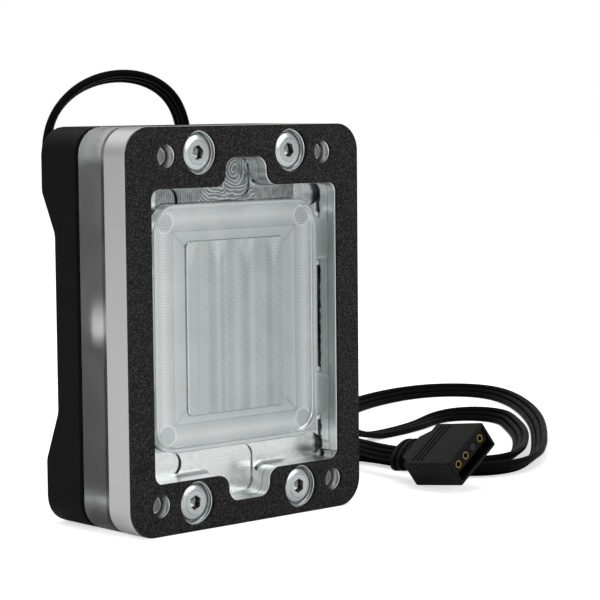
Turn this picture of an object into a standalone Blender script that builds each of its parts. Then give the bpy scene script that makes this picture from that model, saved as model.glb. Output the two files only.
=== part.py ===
"""A CPU water block standing on its short edge, cold plate towards -Y, with its lighting lead.

Metres, +Z up. The origin is at the middle of the block's foot. The layers follow each other along +Y:
insulating pad, cold plate, clear manifold body and cover. Depths are counted from the cold plate's front.
"""

import math

import bmesh
import bpy
from mathutils import Euler, Matrix, Vector

# The block and its layers
BLOCK_WIDTH = 0.054
BLOCK_HEIGHT = 0.071
BLOCK_CORNER = 0.005
PAD_THICKNESS = 0.0005
PLATE_THICKNESS = 0.00585
BODY_THICKNESS = 0.00715
VALLEY_THICKNESS = 0.0070
END_THICKNESS = 0.01065
PAD_GLUE = 0.00015
FACE_GAP = 0.0003
EDGE_CHAMFER = 0.0004

# The stack is centred on Y = 0
STACK_DEPTH = (
    PAD_THICKNESS + PAD_GLUE + PLATE_THICKNESS + FACE_GAP + BODY_THICKNESS + FACE_GAP + END_THICKNESS
)
PAD_FRONT = -STACK_DEPTH / 2
PLATE_FRONT = PAD_FRONT + PAD_THICKNESS + PAD_GLUE
PLATE_BACK = PLATE_FRONT + PLATE_THICKNESS
BODY_FRONT = PLATE_BACK + FACE_GAP
BODY_BACK = BODY_FRONT + BODY_THICKNESS
COVER_FRONT = BODY_BACK + FACE_GAP
VALLEY_BACK = COVER_FRONT + VALLEY_THICKNESS
COVER_BACK = COVER_FRONT + END_THICKNESS

# The pocket in the cold plate's front and its two notches
SIDE_WALL = 0.00525
FOOT_WALL = 0.0091
TOP_WALL = 0.0107
POCKET_HALF = BLOCK_WIDTH / 2 - SIDE_WALL
POCKET_BOTTOM = FOOT_WALL
POCKET_TOP = BLOCK_HEIGHT - TOP_WALL
POCKET_CORNER = 0.0018
NOTCH_SHARE = 0.0926
NOTCH_TOP_WALL = 0.0056
NOTCH_HALF = BLOCK_WIDTH * NOTCH_SHARE
NOTCH_TOP = BLOCK_HEIGHT - NOTCH_TOP_WALL
NOTCH_BOTTOM = 0.0042
NOTCH_FILLET = 0.0023
MOAT_DEPTH = 0.0048
RELIEF_RADIUS = 0.0010
RELIEF_INSET = 0.0003

# The rim, the recess inside it and the raised contact pad
MOAT_SIDE = 0.00255
MOAT_FOOT = 0.0046
MOAT_TOP = 0.0029
RIM_HALF = POCKET_HALF - MOAT_SIDE
RIM_BOTTOM = POCKET_BOTTOM + MOAT_FOOT
RIM_TOP = POCKET_TOP - MOAT_TOP
RIM_WALL = 0.0008
RIM_CORNER = 0.0050
RIM_DEPTH = 0.0021
RECESS_DEPTH = 0.0029
CONTACT_SIDE = 0.0077
CONTACT_FOOT = 0.0062
CONTACT_HEAD = 0.0067
CONTACT_HALF = RIM_HALF - CONTACT_SIDE
CONTACT_BOTTOM = RIM_BOTTOM + CONTACT_FOOT
CONTACT_TOP = RIM_TOP - CONTACT_HEAD
CONTACT_MIDDLE = (CONTACT_BOTTOM + CONTACT_TOP) / 2
CONTACT_CORNER = 0.0010
CONTACT_DEPTH = 0.0025

# Deeper recesses in the moat's floor
FLOOR_RECESS_DEPTH = 0.0052
FLOOR_RECESS_RADIUS = 0.0022
CORNER_RECESS_REACH = 0.0060
WINDOW_LENGTH = 0.0101
WINDOW_FROM_TOP = 0.0106
WINDOW_FROM_FOOT = 0.0117
WINDOW_UPPER = POCKET_TOP - WINDOW_FROM_TOP
WINDOW_LOWER = POCKET_BOTTOM + WINDOW_FROM_FOOT
NOTCH_RECESS_INSET = 0.0006
NOTCH_RECESS_HALF = NOTCH_HALF - NOTCH_RECESS_INSET
NOTCH_RECESS_UPPER = 0.0024
NOTCH_RECESS_LOWER = 0.0041
NOTCH_RECESS_GAP = 0.0002

# How far a cutter reaches past the face it goes through
STEP = 0.0001

# Micro fins, milled into the cold plate's back behind the contact pad
FIN_OVERLAP = 0.0006
FIN_FIELD_WIDTH = (CONTACT_HALF + FIN_OVERLAP) * 2
FIN_FIELD_HEIGHT = CONTACT_TOP - CONTACT_BOTTOM + FIN_OVERLAP * 2
FIN_DEPTH = 0.0022
FIN_PITCH = 0.0008
FIN_THICKNESS = 0.0004
FIN_END_SPACE = 0.0012

# Screws: two patterns, wider at the foot than at the top
ASSEMBLY_TOP = (BLOCK_WIDTH * 0.1967, BLOCK_HEIGHT - 0.0046)
ASSEMBLY_FOOT = (BLOCK_WIDTH * 0.227, 0.0049)
MOUNTING_TOP = (BLOCK_WIDTH * 0.338, BLOCK_HEIGHT - 0.0051)
MOUNTING_FOOT = (BLOCK_WIDTH * 0.376, 0.0053)
ASSEMBLY_THREAD = 0.0015
ASSEMBLY_HEAD = 0.0029
ASSEMBLY_HEAD_HEIGHT = 0.0017
ASSEMBLY_SOCKET = 0.0020
KEY_DEPTH = 0.0010
ASSEMBLY_BITE = 0.0060
ASSEMBLY_COUNTERBORE = 0.0036
PAD_HOLE = 0.0039
HEAD_SINK = 0.0005
MOUNTING_THREAD = 0.0018
MOUNTING_HOLE = 0.00205
MOUNTING_TIP_DEPTH = 0.00165
MOUNTING_HEAD = 0.0033
MOUNTING_HEAD_HEIGHT = 0.0022
MOUNTING_SOCKET = 0.0025
MOUNTING_COUNTERBORE = 0.0036
SCREW_CHAMFER = 0.0003

# The cover's valley, seen from the side
VALLEY_FROM_TOP = 0.0190
TOP_END_LENGTH = 0.0115
VALLEY_TOP = BLOCK_HEIGHT - VALLEY_FROM_TOP
VALLEY_FOOT = 0.0205
END_TOP_EDGE = BLOCK_HEIGHT - TOP_END_LENGTH
END_FOOT_EDGE = 0.0118
VALLEY_EASE = 0.0030

# Ports for the hose fittings
PORT_X = BLOCK_WIDTH * 0.2407
PORT_BORE = 0.00658
PORT_BOSS = 0.0085
PORT_CHAMFER = 0.0006
PORT_FLOOR = 0.0033
COVER_FIT = 0.0003

# Coolant channels and seal in the manifold body
CHANNEL_DEPTH = 0.0036
CHANNEL_WIDTH = 0.0040
CHANNEL_CORNER = 0.0010
INLET_WIDTH = 0.0034
JET_REACH = 0.0020
JET_FROM_ENDS = 0.0018
OUTLET_FROM_JET = 0.0039
OUTLET_SIDE = CONTACT_HALF
JET_HALF = CONTACT_HALF + JET_REACH
JET_HEIGHT = CONTACT_TOP - CONTACT_BOTTOM - JET_FROM_ENDS * 2
OUTLET_X = JET_HALF + OUTLET_FROM_JET
JET_THICKNESS = 0.0005
JET_CORNER = 0.0008
JET_SLOT_INSET = 0.0035
JET_SLOT_HALF = JET_HALF - JET_SLOT_INSET
INLET_PAST_SLOT = 0.0005
INLET_REACH = JET_SLOT_HALF + INLET_PAST_SLOT
JET_SLOT_WIDTH = 0.0012
SEAL_SIDE = 0.0046
SEAL_FROM_TOP = 0.0108
SEAL_HALF = BLOCK_WIDTH / 2 - SEAL_SIDE
SEAL_BOTTOM = 0.0115
SEAL_TOP = BLOCK_HEIGHT - SEAL_FROM_TOP
SEAL_CORNER = 0.0050
SEAL_RADIUS = 0.0009
SEAL_FIT = 0.0003

# Light strip, grommet and lead
BOARD_SIDE = 0.0038
BOARD_FROM_VALLEY_TOP = 0.0035
BOARD_HALF = BLOCK_WIDTH / 2 - BOARD_SIDE
BOARD_Z = VALLEY_TOP - BOARD_FROM_VALLEY_TOP
BOARD_HEIGHT = 0.0050
PORT_FROM_BOARD = 0.00125
PORT_Z = BOARD_Z - BOARD_HEIGHT / 2 - PORT_BOSS - PORT_FROM_BOARD
BOARD_THICKNESS = 0.0008
BOARD_CORNER = 0.0006
LED_COUNT = 6
LED_END_SPACE = 0.0057
LED_PITCH = (BOARD_HALF - LED_END_SPACE) * 2 / (LED_COUNT - 1)
LED_SIZE = 0.0020
LED_HEIGHT = 0.0007
SOLDER = 0.0001
EXIT_X = -BLOCK_WIDTH * 0.287
EXIT_Z = BOARD_Z
CABLE_RADIUS = 0.0015
GROMMET_WALL = 0.0006
GROMMET_FLANGE = 0.0030
GROMMET_LIP = 0.0008
LAY_Z = 0.0016
HUMP_Z = 0.0049
ROUTE_SPACING = 0.0085
ROUTE_STEPS = 24

# The socket on the lead, in its own axes: X across its width, Y to the rear, Z out of the grooved face
SOCKET_PLACE = (0.05027, -0.01955, 0.00735)
SOCKET_TURN = (math.radians(-8.3), math.radians(-34.1), math.radians(3.4))
SOCKET_WIDTH = 0.0123
SOCKET_DEPTH = 0.0057
SOCKET_LENGTH = 0.0128
SOCKET_WALL = 0.0007
SOCKET_CAVITY = 0.0085
SOCKET_TAPER = 0.0030
SOCKET_EDGE = 0.0004
TAPER_ROOT = 0.0012
NECK_WIDTH = 0.0060
NECK_DEPTH = 0.0042
GROOVE_COUNT = 3
GROOVE_WIDTH = 0.0004
GROOVE_DEPTH = 0.0004
GROOVE_FIRST = 0.0084
GROOVE_PITCH = 0.0011
GROOVE_LENGTH = 0.0106
CONTACT_PITCH = 0.00254
CONTACT_POSITIONS = 4
INSERT_HEIGHT = 0.0026
INSERT_RECESS = 0.0005
INSERT_FIT = 0.00015
CONTACT_RADIUS = 0.0008
CONTACT_BORE = 0.0005
CONTACT_LENGTH = 0.0060
CONTACT_FLOOR = 0.0009
KEY_POSITION = 2
BOOT_LENGTH = 0.0036
BOOT_WALL = 0.0004
BOOT_RIB = 0.0004
BOOT_RIB_START = 0.0009
BOOT_RIB_LENGTH = 0.0010
BOOT_FLATTEN = 0.72
BOOT_WIDEN = 1.25

ARC_SEGMENTS = 6
END_SEGMENTS = 8

parts = None
cutters = None


def clear_scene():
    for obj in list(bpy.data.objects):
        bpy.data.objects.remove(obj, do_unlink=True)


def new_collection(name):
    made = bpy.data.collections.new(name)
    bpy.context.scene.collection.children.link(made)
    return made


def material(name, colour, roughness, metallic=0.0, alpha=1.0):
    made = bpy.data.materials.new(name)
    made.use_nodes = True
    shader = made.node_tree.nodes["Principled BSDF"]
    shader.inputs["Base Color"].default_value = (*colour, 1.0)
    shader.inputs["Roughness"].default_value = roughness
    shader.inputs["Metallic"].default_value = metallic
    shader.inputs["Alpha"].default_value = alpha
    return made


def place(obj, collection):
    """Moves an object that an operator made into one of this model's own collections."""
    for owner in list(obj.users_collection):
        owner.objects.unlink(obj)
    collection.objects.link(obj)
    if collection is cutters:
        obj.hide_render = True
        obj.display_type = "WIRE"


def finish(obj, finish_material, smooth=True):
    obj.data.materials.clear()
    obj.data.materials.append(finish_material)
    if smooth:
        obj.data.shade_smooth()
        obj.data.set_sharp_from_angle(angle=math.radians(35))


def rounded(corners, segments=ARC_SEGMENTS):
    """The outline through corners (x, z, radius), each one turned into an arc of its radius."""
    outline = []
    count = len(corners)
    for i, (x, z, radius) in enumerate(corners):
        here = Vector((x, z))
        before = Vector(corners[i - 1][:2]) - here
        after = Vector(corners[(i + 1) % count][:2]) - here
        if radius <= 0:
            outline.append(here)
            continue
        before.normalize()
        after.normalize()
        half = before.angle(after) / 2
        start = here + before * (radius / math.tan(half))
        middle = here + (before + after).normalized() * (radius / math.sin(half))
        arm = start - middle
        sweep = math.pi - 2 * half
        turn = 1 if before.cross(after) < 0 else -1
        for step in range(segments + 1):
            angle = turn * sweep * step / segments
            cos, sin = math.cos(angle), math.sin(angle)
            outline.append(middle + Vector((arm.x * cos - arm.y * sin, arm.x * sin + arm.y * cos)))
    return outline


def rectangle(half_width, bottom, top, radius, segments=ARC_SEGMENTS, centre=0.0):
    low, high = centre - half_width, centre + half_width
    corners = ((low, bottom, radius), (high, bottom, radius), (high, top, radius), (low, top, radius))
    return rounded(corners, segments)


def mesh_from(obj, name, collection):
    """The evaluated flat curve as a mesh object in the same place. Its caps are welded to its sides
    and each is made one face."""
    bpy.context.view_layer.update()
    evaluated = obj.evaluated_get(bpy.context.evaluated_depsgraph_get())
    mesh = bpy.data.meshes.new_from_object(evaluated)
    mesh.name = name
    work = bmesh.new()
    work.from_mesh(mesh)
    bmesh.ops.remove_doubles(work, verts=work.verts, dist=1e-6)
    for side in (-1, 1):
        cap = [face for face in work.faces if all(side * vert.co.z > 0 for vert in face.verts)]
        bmesh.ops.dissolve_faces(work, faces=cap)
    bmesh.ops.recalc_face_normals(work, faces=work.faces)
    work.to_mesh(mesh)
    work.free()
    made = bpy.data.objects.new(name, mesh)
    made.matrix_world = obj.matrix_world
    bpy.data.objects.remove(obj, do_unlink=True)
    place(made, collection)
    return made


def slab(name, outline, low, high, collection, across=False):
    """A flat outline with thickness. It lies in XZ and reaches from low to high along Y, or lies in
    YZ and reaches along X where across is set."""
    curve = bpy.data.curves.new(name + "_outline", "CURVE")
    curve.dimensions = "2D"
    curve.fill_mode = "BOTH"
    curve.extrude = (high - low) / 2
    spline = curve.splines.new("POLY")
    spline.points.add(len(outline) - 1)
    for point, (u, v) in zip(spline.points, outline):
        point.co = (u, v, 0.0, 1.0)
    spline.use_cyclic_u = True
    obj = bpy.data.objects.new(name + "_outline", curve)
    middle = (low + high) / 2
    if across:
        obj.rotation_euler = (math.pi / 2, 0.0, math.pi / 2)
        obj.location = (middle, 0.0, 0.0)
    else:
        obj.rotation_euler = (math.pi / 2, 0.0, 0.0)
        obj.location = (0.0, middle, 0.0)
    bpy.context.scene.collection.objects.link(obj)
    return mesh_from(obj, name, collection)


def round_bar(name, x, z, radius, low, high, collection, segments=24):
    """A cylinder along Y."""
    bpy.ops.mesh.primitive_cylinder_add(
        vertices=segments,
        radius=radius,
        depth=high - low,
        location=(x, (low + high) / 2, z),
        rotation=(math.pi / 2, 0.0, 0.0),
    )
    obj = bpy.context.object
    obj.name = name
    place(obj, collection)
    return obj


def combine(target, other, operation):
    modifier = target.modifiers.new(other.name, "BOOLEAN")
    modifier.operation = operation
    modifier.solver = "EXACT"
    modifier.object = other


def cut(target, *others):
    for other in others:
        combine(target, other, "DIFFERENCE")


def ring(name, outer, inner, low, high):
    """A cutter between two outlines."""
    made = slab(name, outer, low, high, cutters)
    cut(made, slab(name + "_core", inner, low - STEP, high + STEP, cutters))
    return made


def chamfer(obj, width, segments=1):
    modifier = obj.modifiers.new("edge", "BEVEL")
    modifier.width = width
    modifier.segments = segments
    modifier.limit_method = "ANGLE"
    modifier.angle_limit = math.radians(60)


def turned(name, profile, collection, segments=24):
    """A solid of revolution about the local Z axis, from a closed profile of (radius, z), top first."""
    mesh = bpy.data.meshes.new(name)
    obj = bpy.data.objects.new(name, mesh)
    work = bmesh.new()
    corners = [work.verts.new((radius, 0.0, z)) for radius, z in profile]
    for first, second in zip(corners, corners[1:]):
        work.edges.new((first, second))
    if profile[0][0] > 0 and profile[-1][0] > 0:
        work.edges.new((corners[-1], corners[0]))
    work.to_mesh(mesh)
    work.free()
    place(obj, collection)
    screw = obj.modifiers.new("turn", "SCREW")
    screw.axis = "Z"
    screw.steps = segments
    screw.render_steps = segments
    screw.use_merge_vertices = True
    screw.merge_threshold = 1e-6
    return obj


def both_sides(spot):
    x, z = spot
    return (-x, z), (x, z)


def screw_spots(top, foot):
    return [*both_sides(top), *both_sides(foot)]


ASSEMBLY_SPOTS = screw_spots(ASSEMBLY_TOP, ASSEMBLY_FOOT)
MOUNTING_SPOTS = screw_spots(MOUNTING_TOP, MOUNTING_FOOT)


def block_outline():
    return rectangle(BLOCK_WIDTH / 2, 0.0, BLOCK_HEIGHT, BLOCK_CORNER)


def pocket_outline():
    """The pocket with its upper and lower notch, walked round from the lower left corner."""
    outer, ease, notch = POCKET_CORNER, NOTCH_FILLET, NOTCH_HALF
    return rounded(
        (
            (-POCKET_HALF, POCKET_BOTTOM, outer),
            (-notch, POCKET_BOTTOM, ease),
            (-notch, NOTCH_BOTTOM, ease),
            (notch, NOTCH_BOTTOM, ease),
            (notch, POCKET_BOTTOM, ease),
            (POCKET_HALF, POCKET_BOTTOM, outer),
            (POCKET_HALF, POCKET_TOP, outer),
            (notch, POCKET_TOP, ease),
            (notch, NOTCH_TOP, ease),
            (-notch, NOTCH_TOP, ease),
            (-notch, POCKET_TOP, ease),
            (-POCKET_HALF, POCKET_TOP, outer),
        )
    )


def rim_outline(inset=0.0):
    return rectangle(RIM_HALF - inset, RIM_BOTTOM + inset, RIM_TOP - inset, RIM_CORNER - inset)


def make_insulating_pad():
    pad_back = PAD_FRONT + PAD_THICKNESS
    ahead = PAD_FRONT - STEP
    behind = pad_back + STEP
    pad = slab("insulating_pad", block_outline(), PAD_FRONT, pad_back, parts)
    cut(pad, slab("pad_window", pocket_outline(), ahead, behind, cutters))
    for spots, radius in ((ASSEMBLY_SPOTS, PAD_HOLE), (MOUNTING_SPOTS, MOUNTING_HOLE)):
        for x, z in spots:
            number = len(pad.modifiers)
            cut(pad, round_bar(f"pad_hole_{number}", x, z, radius, ahead, behind, cutters))
    finish(pad, material("insulating film", (0.018, 0.018, 0.018), 0.55))


def stadium(x1, z1, x2, z2, radius):
    """A slot's outline: the path of a round cutter from one point to another."""
    along = Vector((x2 - x1, z2 - z1)).normalized()
    angle = math.atan2(along.y, along.x)
    outline = []
    for x, z, start in ((x2, z2, -math.pi / 2), (x1, z1, math.pi / 2)):
        for step in range(END_SEGMENTS + 1):
            turn = angle + start + math.pi * step / END_SEGMENTS
            outline.append(Vector((x + radius * math.cos(turn), z + radius * math.sin(turn))))
    return outline


def floor_recesses(plate):
    """Places in the moat's floor that a round cutter took a little deeper, all clear of the rim."""
    floor = PLATE_FRONT + FLOOR_RECESS_DEPTH
    above = PLATE_FRONT + RIM_DEPTH
    guard = slab("rim_guard", rim_outline(-STEP), above - STEP, floor + STEP, cutters)
    radius = FLOOR_RECESS_RADIUS
    inset = radius + STEP
    wall_x = POCKET_HALF - inset
    slots = []
    for side in (-1, 1):
        for edge, inward in ((POCKET_TOP, -1), (POCKET_BOTTOM, 1)):
            z = edge + inward * inset
            slots.append((side * wall_x, z, side * (wall_x - CORNER_RECESS_REACH), z))
        for middle in (WINDOW_UPPER, WINDOW_LOWER):
            half = WINDOW_LENGTH / 2 - radius
            slots.append((side * wall_x, middle - half, side * wall_x, middle + half))
    for i, ends in enumerate(slots):
        recess = slab(f"floor_recess_{i}", stadium(*ends, radius), above, floor, cutters)
        cut(recess, guard)
        cut(plate, recess)
    upper = rectangle(
        NOTCH_RECESS_HALF,
        POCKET_TOP - NOTCH_RECESS_UPPER,
        NOTCH_TOP - NOTCH_RECESS_GAP,
        NOTCH_FILLET,
    )
    lower = rectangle(
        NOTCH_RECESS_HALF,
        NOTCH_BOTTOM + NOTCH_RECESS_GAP,
        POCKET_BOTTOM + NOTCH_RECESS_LOWER,
        NOTCH_FILLET,
    )
    for name, outline in (("upper_notch_recess", upper), ("lower_notch_recess", lower)):
        cut(plate, slab(name, outline, above, floor, cutters))


def fins(plate):
    """A field of slots in the plate's back. What is left between them are the fins."""
    floor = PLATE_BACK - FIN_DEPTH
    behind = PLATE_BACK + STEP
    middle = CONTACT_MIDDLE
    half = FIN_FIELD_HEIGHT / 2
    count = round(FIN_FIELD_WIDTH / FIN_PITCH)
    field_half = (FIN_PITCH * count - FIN_THICKNESS) / 2
    field = slab(
        "fin_field", rectangle(field_half, middle - half, middle + half, 0.0), floor, behind, cutters
    )
    bars = bpy.data.meshes.new("fin_bars")
    work = bmesh.new()
    for i in range(count - 1):
        size = Matrix.Diagonal((FIN_THICKNESS, FIN_DEPTH * 2, (half - FIN_END_SPACE) * 2, 1.0))
        spot = Matrix.Translation((FIN_PITCH * (i + 1 - count / 2), floor + FIN_DEPTH / 2, middle))
        bmesh.ops.create_cube(work, size=1.0, matrix=spot @ size)
    work.to_mesh(bars)
    work.free()
    comb = bpy.data.objects.new("fin_bars", bars)
    place(comb, cutters)
    cut(field, comb)
    cut(plate, field)


def make_cold_plate():
    plate = slab("cold_plate", block_outline(), PLATE_FRONT, PLATE_BACK, parts)
    ahead = PLATE_FRONT - STEP
    contact = rectangle(CONTACT_HALF, CONTACT_BOTTOM, CONTACT_TOP, CONTACT_CORNER)
    around_contact = rectangle(
        CONTACT_HALF + STEP, CONTACT_BOTTOM - STEP, CONTACT_TOP + STEP, CONTACT_CORNER + STEP
    )
    cut(
        plate,
        ring("moat", pocket_outline(), rim_outline(), ahead, PLATE_FRONT + MOAT_DEPTH),
        slab("rim_face", rim_outline(-STEP), ahead, PLATE_FRONT + RIM_DEPTH, cutters),
        ring("recess", rim_outline(RIM_WALL), contact, ahead, PLATE_FRONT + RECESS_DEPTH),
        slab("contact_face", around_contact, ahead, PLATE_FRONT + CONTACT_DEPTH, cutters),
    )
    floor_recesses(plate)
    for i, side in enumerate((-1, 1)):
        x = side * (POCKET_HALF - RELIEF_INSET)
        z = POCKET_BOTTOM + RELIEF_INSET
        end = PLATE_FRONT + MOAT_DEPTH - STEP
        cut(plate, round_bar(f"corner_relief_{i}", x, z, RELIEF_RADIUS, ahead, end, cutters, 16))
    for i, (x, z) in enumerate(ASSEMBLY_SPOTS):
        floor = PLATE_FRONT + HEAD_SINK + ASSEMBLY_HEAD_HEIGHT + FACE_GAP
        counterbore = round_bar(
            f"assembly_counterbore_{i}", x, z, ASSEMBLY_COUNTERBORE, ahead, floor, cutters
        )
        shank = round_bar(
            f"assembly_hole_{i}",
            x,
            z,
            ASSEMBLY_THREAD + FACE_GAP,
            floor - STEP,
            PLATE_BACK + STEP,
            cutters,
            16,
        )
        cut(plate, counterbore, shank)
    for i, (x, z) in enumerate(MOUNTING_SPOTS):
        cut(
            plate,
            round_bar(
                f"mounting_hole_{i}", x, z, MOUNTING_HOLE, ahead, PLATE_BACK + STEP, cutters
            ),
        )
    fins(plate)
    finish(plate, material("nickel-plated copper", (0.62, 0.63, 0.63), 0.28, 1.0))


def port_spots():
    return both_sides((PORT_X, PORT_Z))


def make_manifold_body():
    body = slab("manifold_body", block_outline(), BODY_FRONT, BODY_BACK, parts)
    chamfer(body, EDGE_CHAMFER)
    ahead = BODY_FRONT - STEP
    channel_floor = BODY_FRONT + CHANNEL_DEPTH
    boss_end = VALLEY_BACK - FACE_GAP
    for i, (x, z) in enumerate(port_spots()):
        boss = round_bar(f"port_boss_{i}", x, z, PORT_BOSS, channel_floor, boss_end, cutters, 40)
        combine(body, boss, "UNION")
    middle = CONTACT_MIDDLE
    half_jet = JET_HEIGHT / 2
    jet_floor = BODY_FRONT + JET_THICKNESS + FACE_GAP
    half_seat = half_jet + FACE_GAP
    jet_seat = rectangle(
        JET_HALF + FACE_GAP, middle - half_seat, middle + half_seat, JET_CORNER + FACE_GAP, 3
    )
    cut(body, slab("jet_seat", jet_seat, ahead, jet_floor, cutters))
    for i, (x, z) in enumerate(port_spots()):
        bore = turned(
            f"port_bore_{i}",
            (
                (0.0, boss_end + STEP),
                (PORT_BORE + PORT_CHAMFER + STEP, boss_end + STEP),
                (PORT_BORE, boss_end - PORT_CHAMFER),
                (PORT_BORE, BODY_FRONT + PORT_FLOOR),
                (0.0, BODY_FRONT + PORT_FLOOR),
            ),
            cutters,
            40,
        )
        bore.location = (x, 0.0, z)
        bore.rotation_euler = (-math.pi / 2, 0.0, 0.0)
        cut(body, bore)
    inlet = rectangle(
        (PORT_X + INLET_REACH) / 2,
        middle - INLET_WIDTH / 2,
        middle + INLET_WIDTH / 2,
        CHANNEL_CORNER,
        3,
        (INLET_REACH - PORT_X) / 2,
    )
    cut(body, slab("inlet_channel", inlet, ahead, channel_floor, cutters))
    half = FIN_FIELD_HEIGHT / 2
    low = middle - half - CHANNEL_WIDTH + FIN_END_SPACE * 2
    high = middle + half + CHANNEL_WIDTH - FIN_END_SPACE * 2
    outer_x = OUTLET_X + CHANNEL_WIDTH / 2
    inner_x = OUTLET_X - CHANNEL_WIDTH / 2
    ease = CHANNEL_CORNER
    outlet = rounded(
        (
            (-OUTLET_SIDE, low, ease),
            (outer_x, low, ease),
            (outer_x, high, ease),
            (-OUTLET_SIDE, high, ease),
            (-OUTLET_SIDE, high - CHANNEL_WIDTH, ease),
            (inner_x, high - CHANNEL_WIDTH, ease),
            (inner_x, low + CHANNEL_WIDTH, ease),
            (-OUTLET_SIDE, low + CHANNEL_WIDTH, ease),
        ),
        3,
    )
    cut(body, slab("outlet_channel", outlet, ahead, channel_floor, cutters))
    groove_half = SEAL_RADIUS + SEAL_FIT
    groove_floor = BODY_FRONT + SEAL_RADIUS * 2 + SEAL_FIT
    outer, inner = seal_outline(groove_half), seal_outline(-groove_half)
    cut(body, ring("seal_groove", outer, inner, ahead, groove_floor))
    for i, (x, z) in enumerate(ASSEMBLY_SPOTS):
        radius = ASSEMBLY_THREAD + FACE_GAP
        cut(body, round_bar(f"body_screw_hole_{i}", x, z, radius, ahead, BODY_BACK + STEP, cutters, 16))
    for i, (x, z) in enumerate(MOUNTING_SPOTS):
        cut(
            body,
            round_bar(f"body_mount_hole_{i}", x, z, MOUNTING_HOLE, ahead, BODY_BACK + STEP, cutters, 16),
        )
    finish(body, material("clear smoky acrylic", (0.35, 0.35, 0.33), 0.12, 0.0, 0.55))


def seal_outline(outwards=0.0):
    return rectangle(
        SEAL_HALF + outwards, SEAL_BOTTOM - outwards, SEAL_TOP + outwards, SEAL_CORNER + outwards
    )


def make_main_seal():
    curve = bpy.data.curves.new("main_seal", "CURVE")
    curve.dimensions = "3D"
    curve.bevel_depth = SEAL_RADIUS
    curve.bevel_resolution = 2
    outline = seal_outline()
    spline = curve.splines.new("POLY")
    spline.points.add(len(outline) - 1)
    for point, (x, z) in zip(spline.points, outline):
        point.co = (x, BODY_FRONT + SEAL_RADIUS, z, 1.0)
    spline.use_cyclic_u = True
    obj = bpy.data.objects.new("main_seal", curve)
    place(obj, parts)
    curve.materials.append(material("black nitrile rubber", (0.02, 0.02, 0.02), 0.5))


def make_jet_plate():
    middle = CONTACT_MIDDLE
    half = JET_HEIGHT / 2
    slot_half = JET_SLOT_WIDTH / 2
    back = BODY_FRONT + JET_THICKNESS
    outline = rectangle(JET_HALF, middle - half, middle + half, JET_CORNER, 3)
    slot = stadium(-JET_SLOT_HALF, middle, JET_SLOT_HALF, middle, slot_half)
    plate = slab("jet_plate", outline, BODY_FRONT, back, parts)
    cut(plate, slab("jet_slot", slot, BODY_FRONT - STEP, back + STEP, cutters))
    finish(plate, material("stainless spring steel", (0.55, 0.55, 0.54), 0.3, 1.0))


def cover_profile():
    """The cover from the side, as (y, z): two thick ends and the valley between them."""
    below = -BLOCK_CORNER
    above = BLOCK_HEIGHT + BLOCK_CORNER
    return rounded(
        (
            (COVER_FRONT, below, 0.0),
            (COVER_BACK, below, 0.0),
            (COVER_BACK, END_FOOT_EDGE, VALLEY_EASE),
            (VALLEY_BACK, VALLEY_FOOT, VALLEY_EASE),
            (VALLEY_BACK, VALLEY_TOP, VALLEY_EASE),
            (COVER_BACK, END_TOP_EDGE, VALLEY_EASE),
            (COVER_BACK, above, 0.0),
            (COVER_FRONT, above, 0.0),
        )
    )


def board_seat_depth():
    return LED_HEIGHT + SOLDER + BOARD_THICKNESS + FACE_GAP * 2


def make_top_cover():
    wide = BLOCK_WIDTH / 2 + BLOCK_CORNER
    cover = slab("top_cover", cover_profile(), -wide, wide, parts, across=True)
    around = slab("cover_outline", block_outline(), COVER_FRONT - STEP, COVER_BACK + STEP, cutters)
    combine(cover, around, "INTERSECT")
    chamfer(cover, EDGE_CHAMFER)
    ahead = COVER_FRONT - STEP
    behind = COVER_BACK + STEP
    for i, (x, z) in enumerate(port_spots()):
        opening = round_bar(
            f"port_opening_{i}", x, z, PORT_BOSS + COVER_FIT, ahead, behind, cutters, 40
        )
        cut(cover, opening)
    half = BOARD_HEIGHT / 2 + FACE_GAP
    seat = rectangle(
        BOARD_HALF + FACE_GAP, BOARD_Z - half, BOARD_Z + half, BOARD_CORNER + FACE_GAP, 3
    )
    seat_floor = COVER_FRONT + board_seat_depth()
    cut(cover, slab("board_seat", seat, ahead, seat_floor, cutters))
    sleeve = CABLE_RADIUS + FACE_GAP + GROMMET_WALL
    cut(
        cover,
        round_bar(
            "grommet_hole", EXIT_X, EXIT_Z, sleeve + FACE_GAP, seat_floor - STEP, behind, cutters, 16
        ),
    )
    for i, (x, z) in enumerate(ASSEMBLY_SPOTS):
        end = COVER_FRONT + ASSEMBLY_BITE + FACE_GAP
        cut(
            cover,
            round_bar(f"thread_{i}", x, z, ASSEMBLY_THREAD + FACE_GAP, ahead, end, cutters, 16),
        )
    for i, (x, z) in enumerate(MOUNTING_SPOTS):
        floor = COVER_BACK - MOUNTING_HEAD_HEIGHT - HEAD_SINK - FACE_GAP
        cut(
            cover,
            round_bar(f"cover_hole_{i}", x, z, MOUNTING_HOLE, ahead, behind, cutters, 16),
            round_bar(f"cover_counterbore_{i}", x, z, MOUNTING_COUNTERBORE, floor, behind, cutters),
        )
    finish(cover, material("black anodised aluminium", (0.012, 0.012, 0.012), 0.4, 0.6))


def hex_key(name, width, depth, surface, collection):
    """A hexagonal key's end, width across its flats, reaching depth below the surface at local z."""
    bpy.ops.mesh.primitive_cylinder_add(
        vertices=6,
        radius=width / 2 / math.cos(math.pi / 6),
        depth=depth + STEP,
        location=(0.0, 0.0, surface - depth / 2 + STEP / 2),
    )
    obj = bpy.context.object
    obj.name = name
    place(obj, collection)
    return obj


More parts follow.
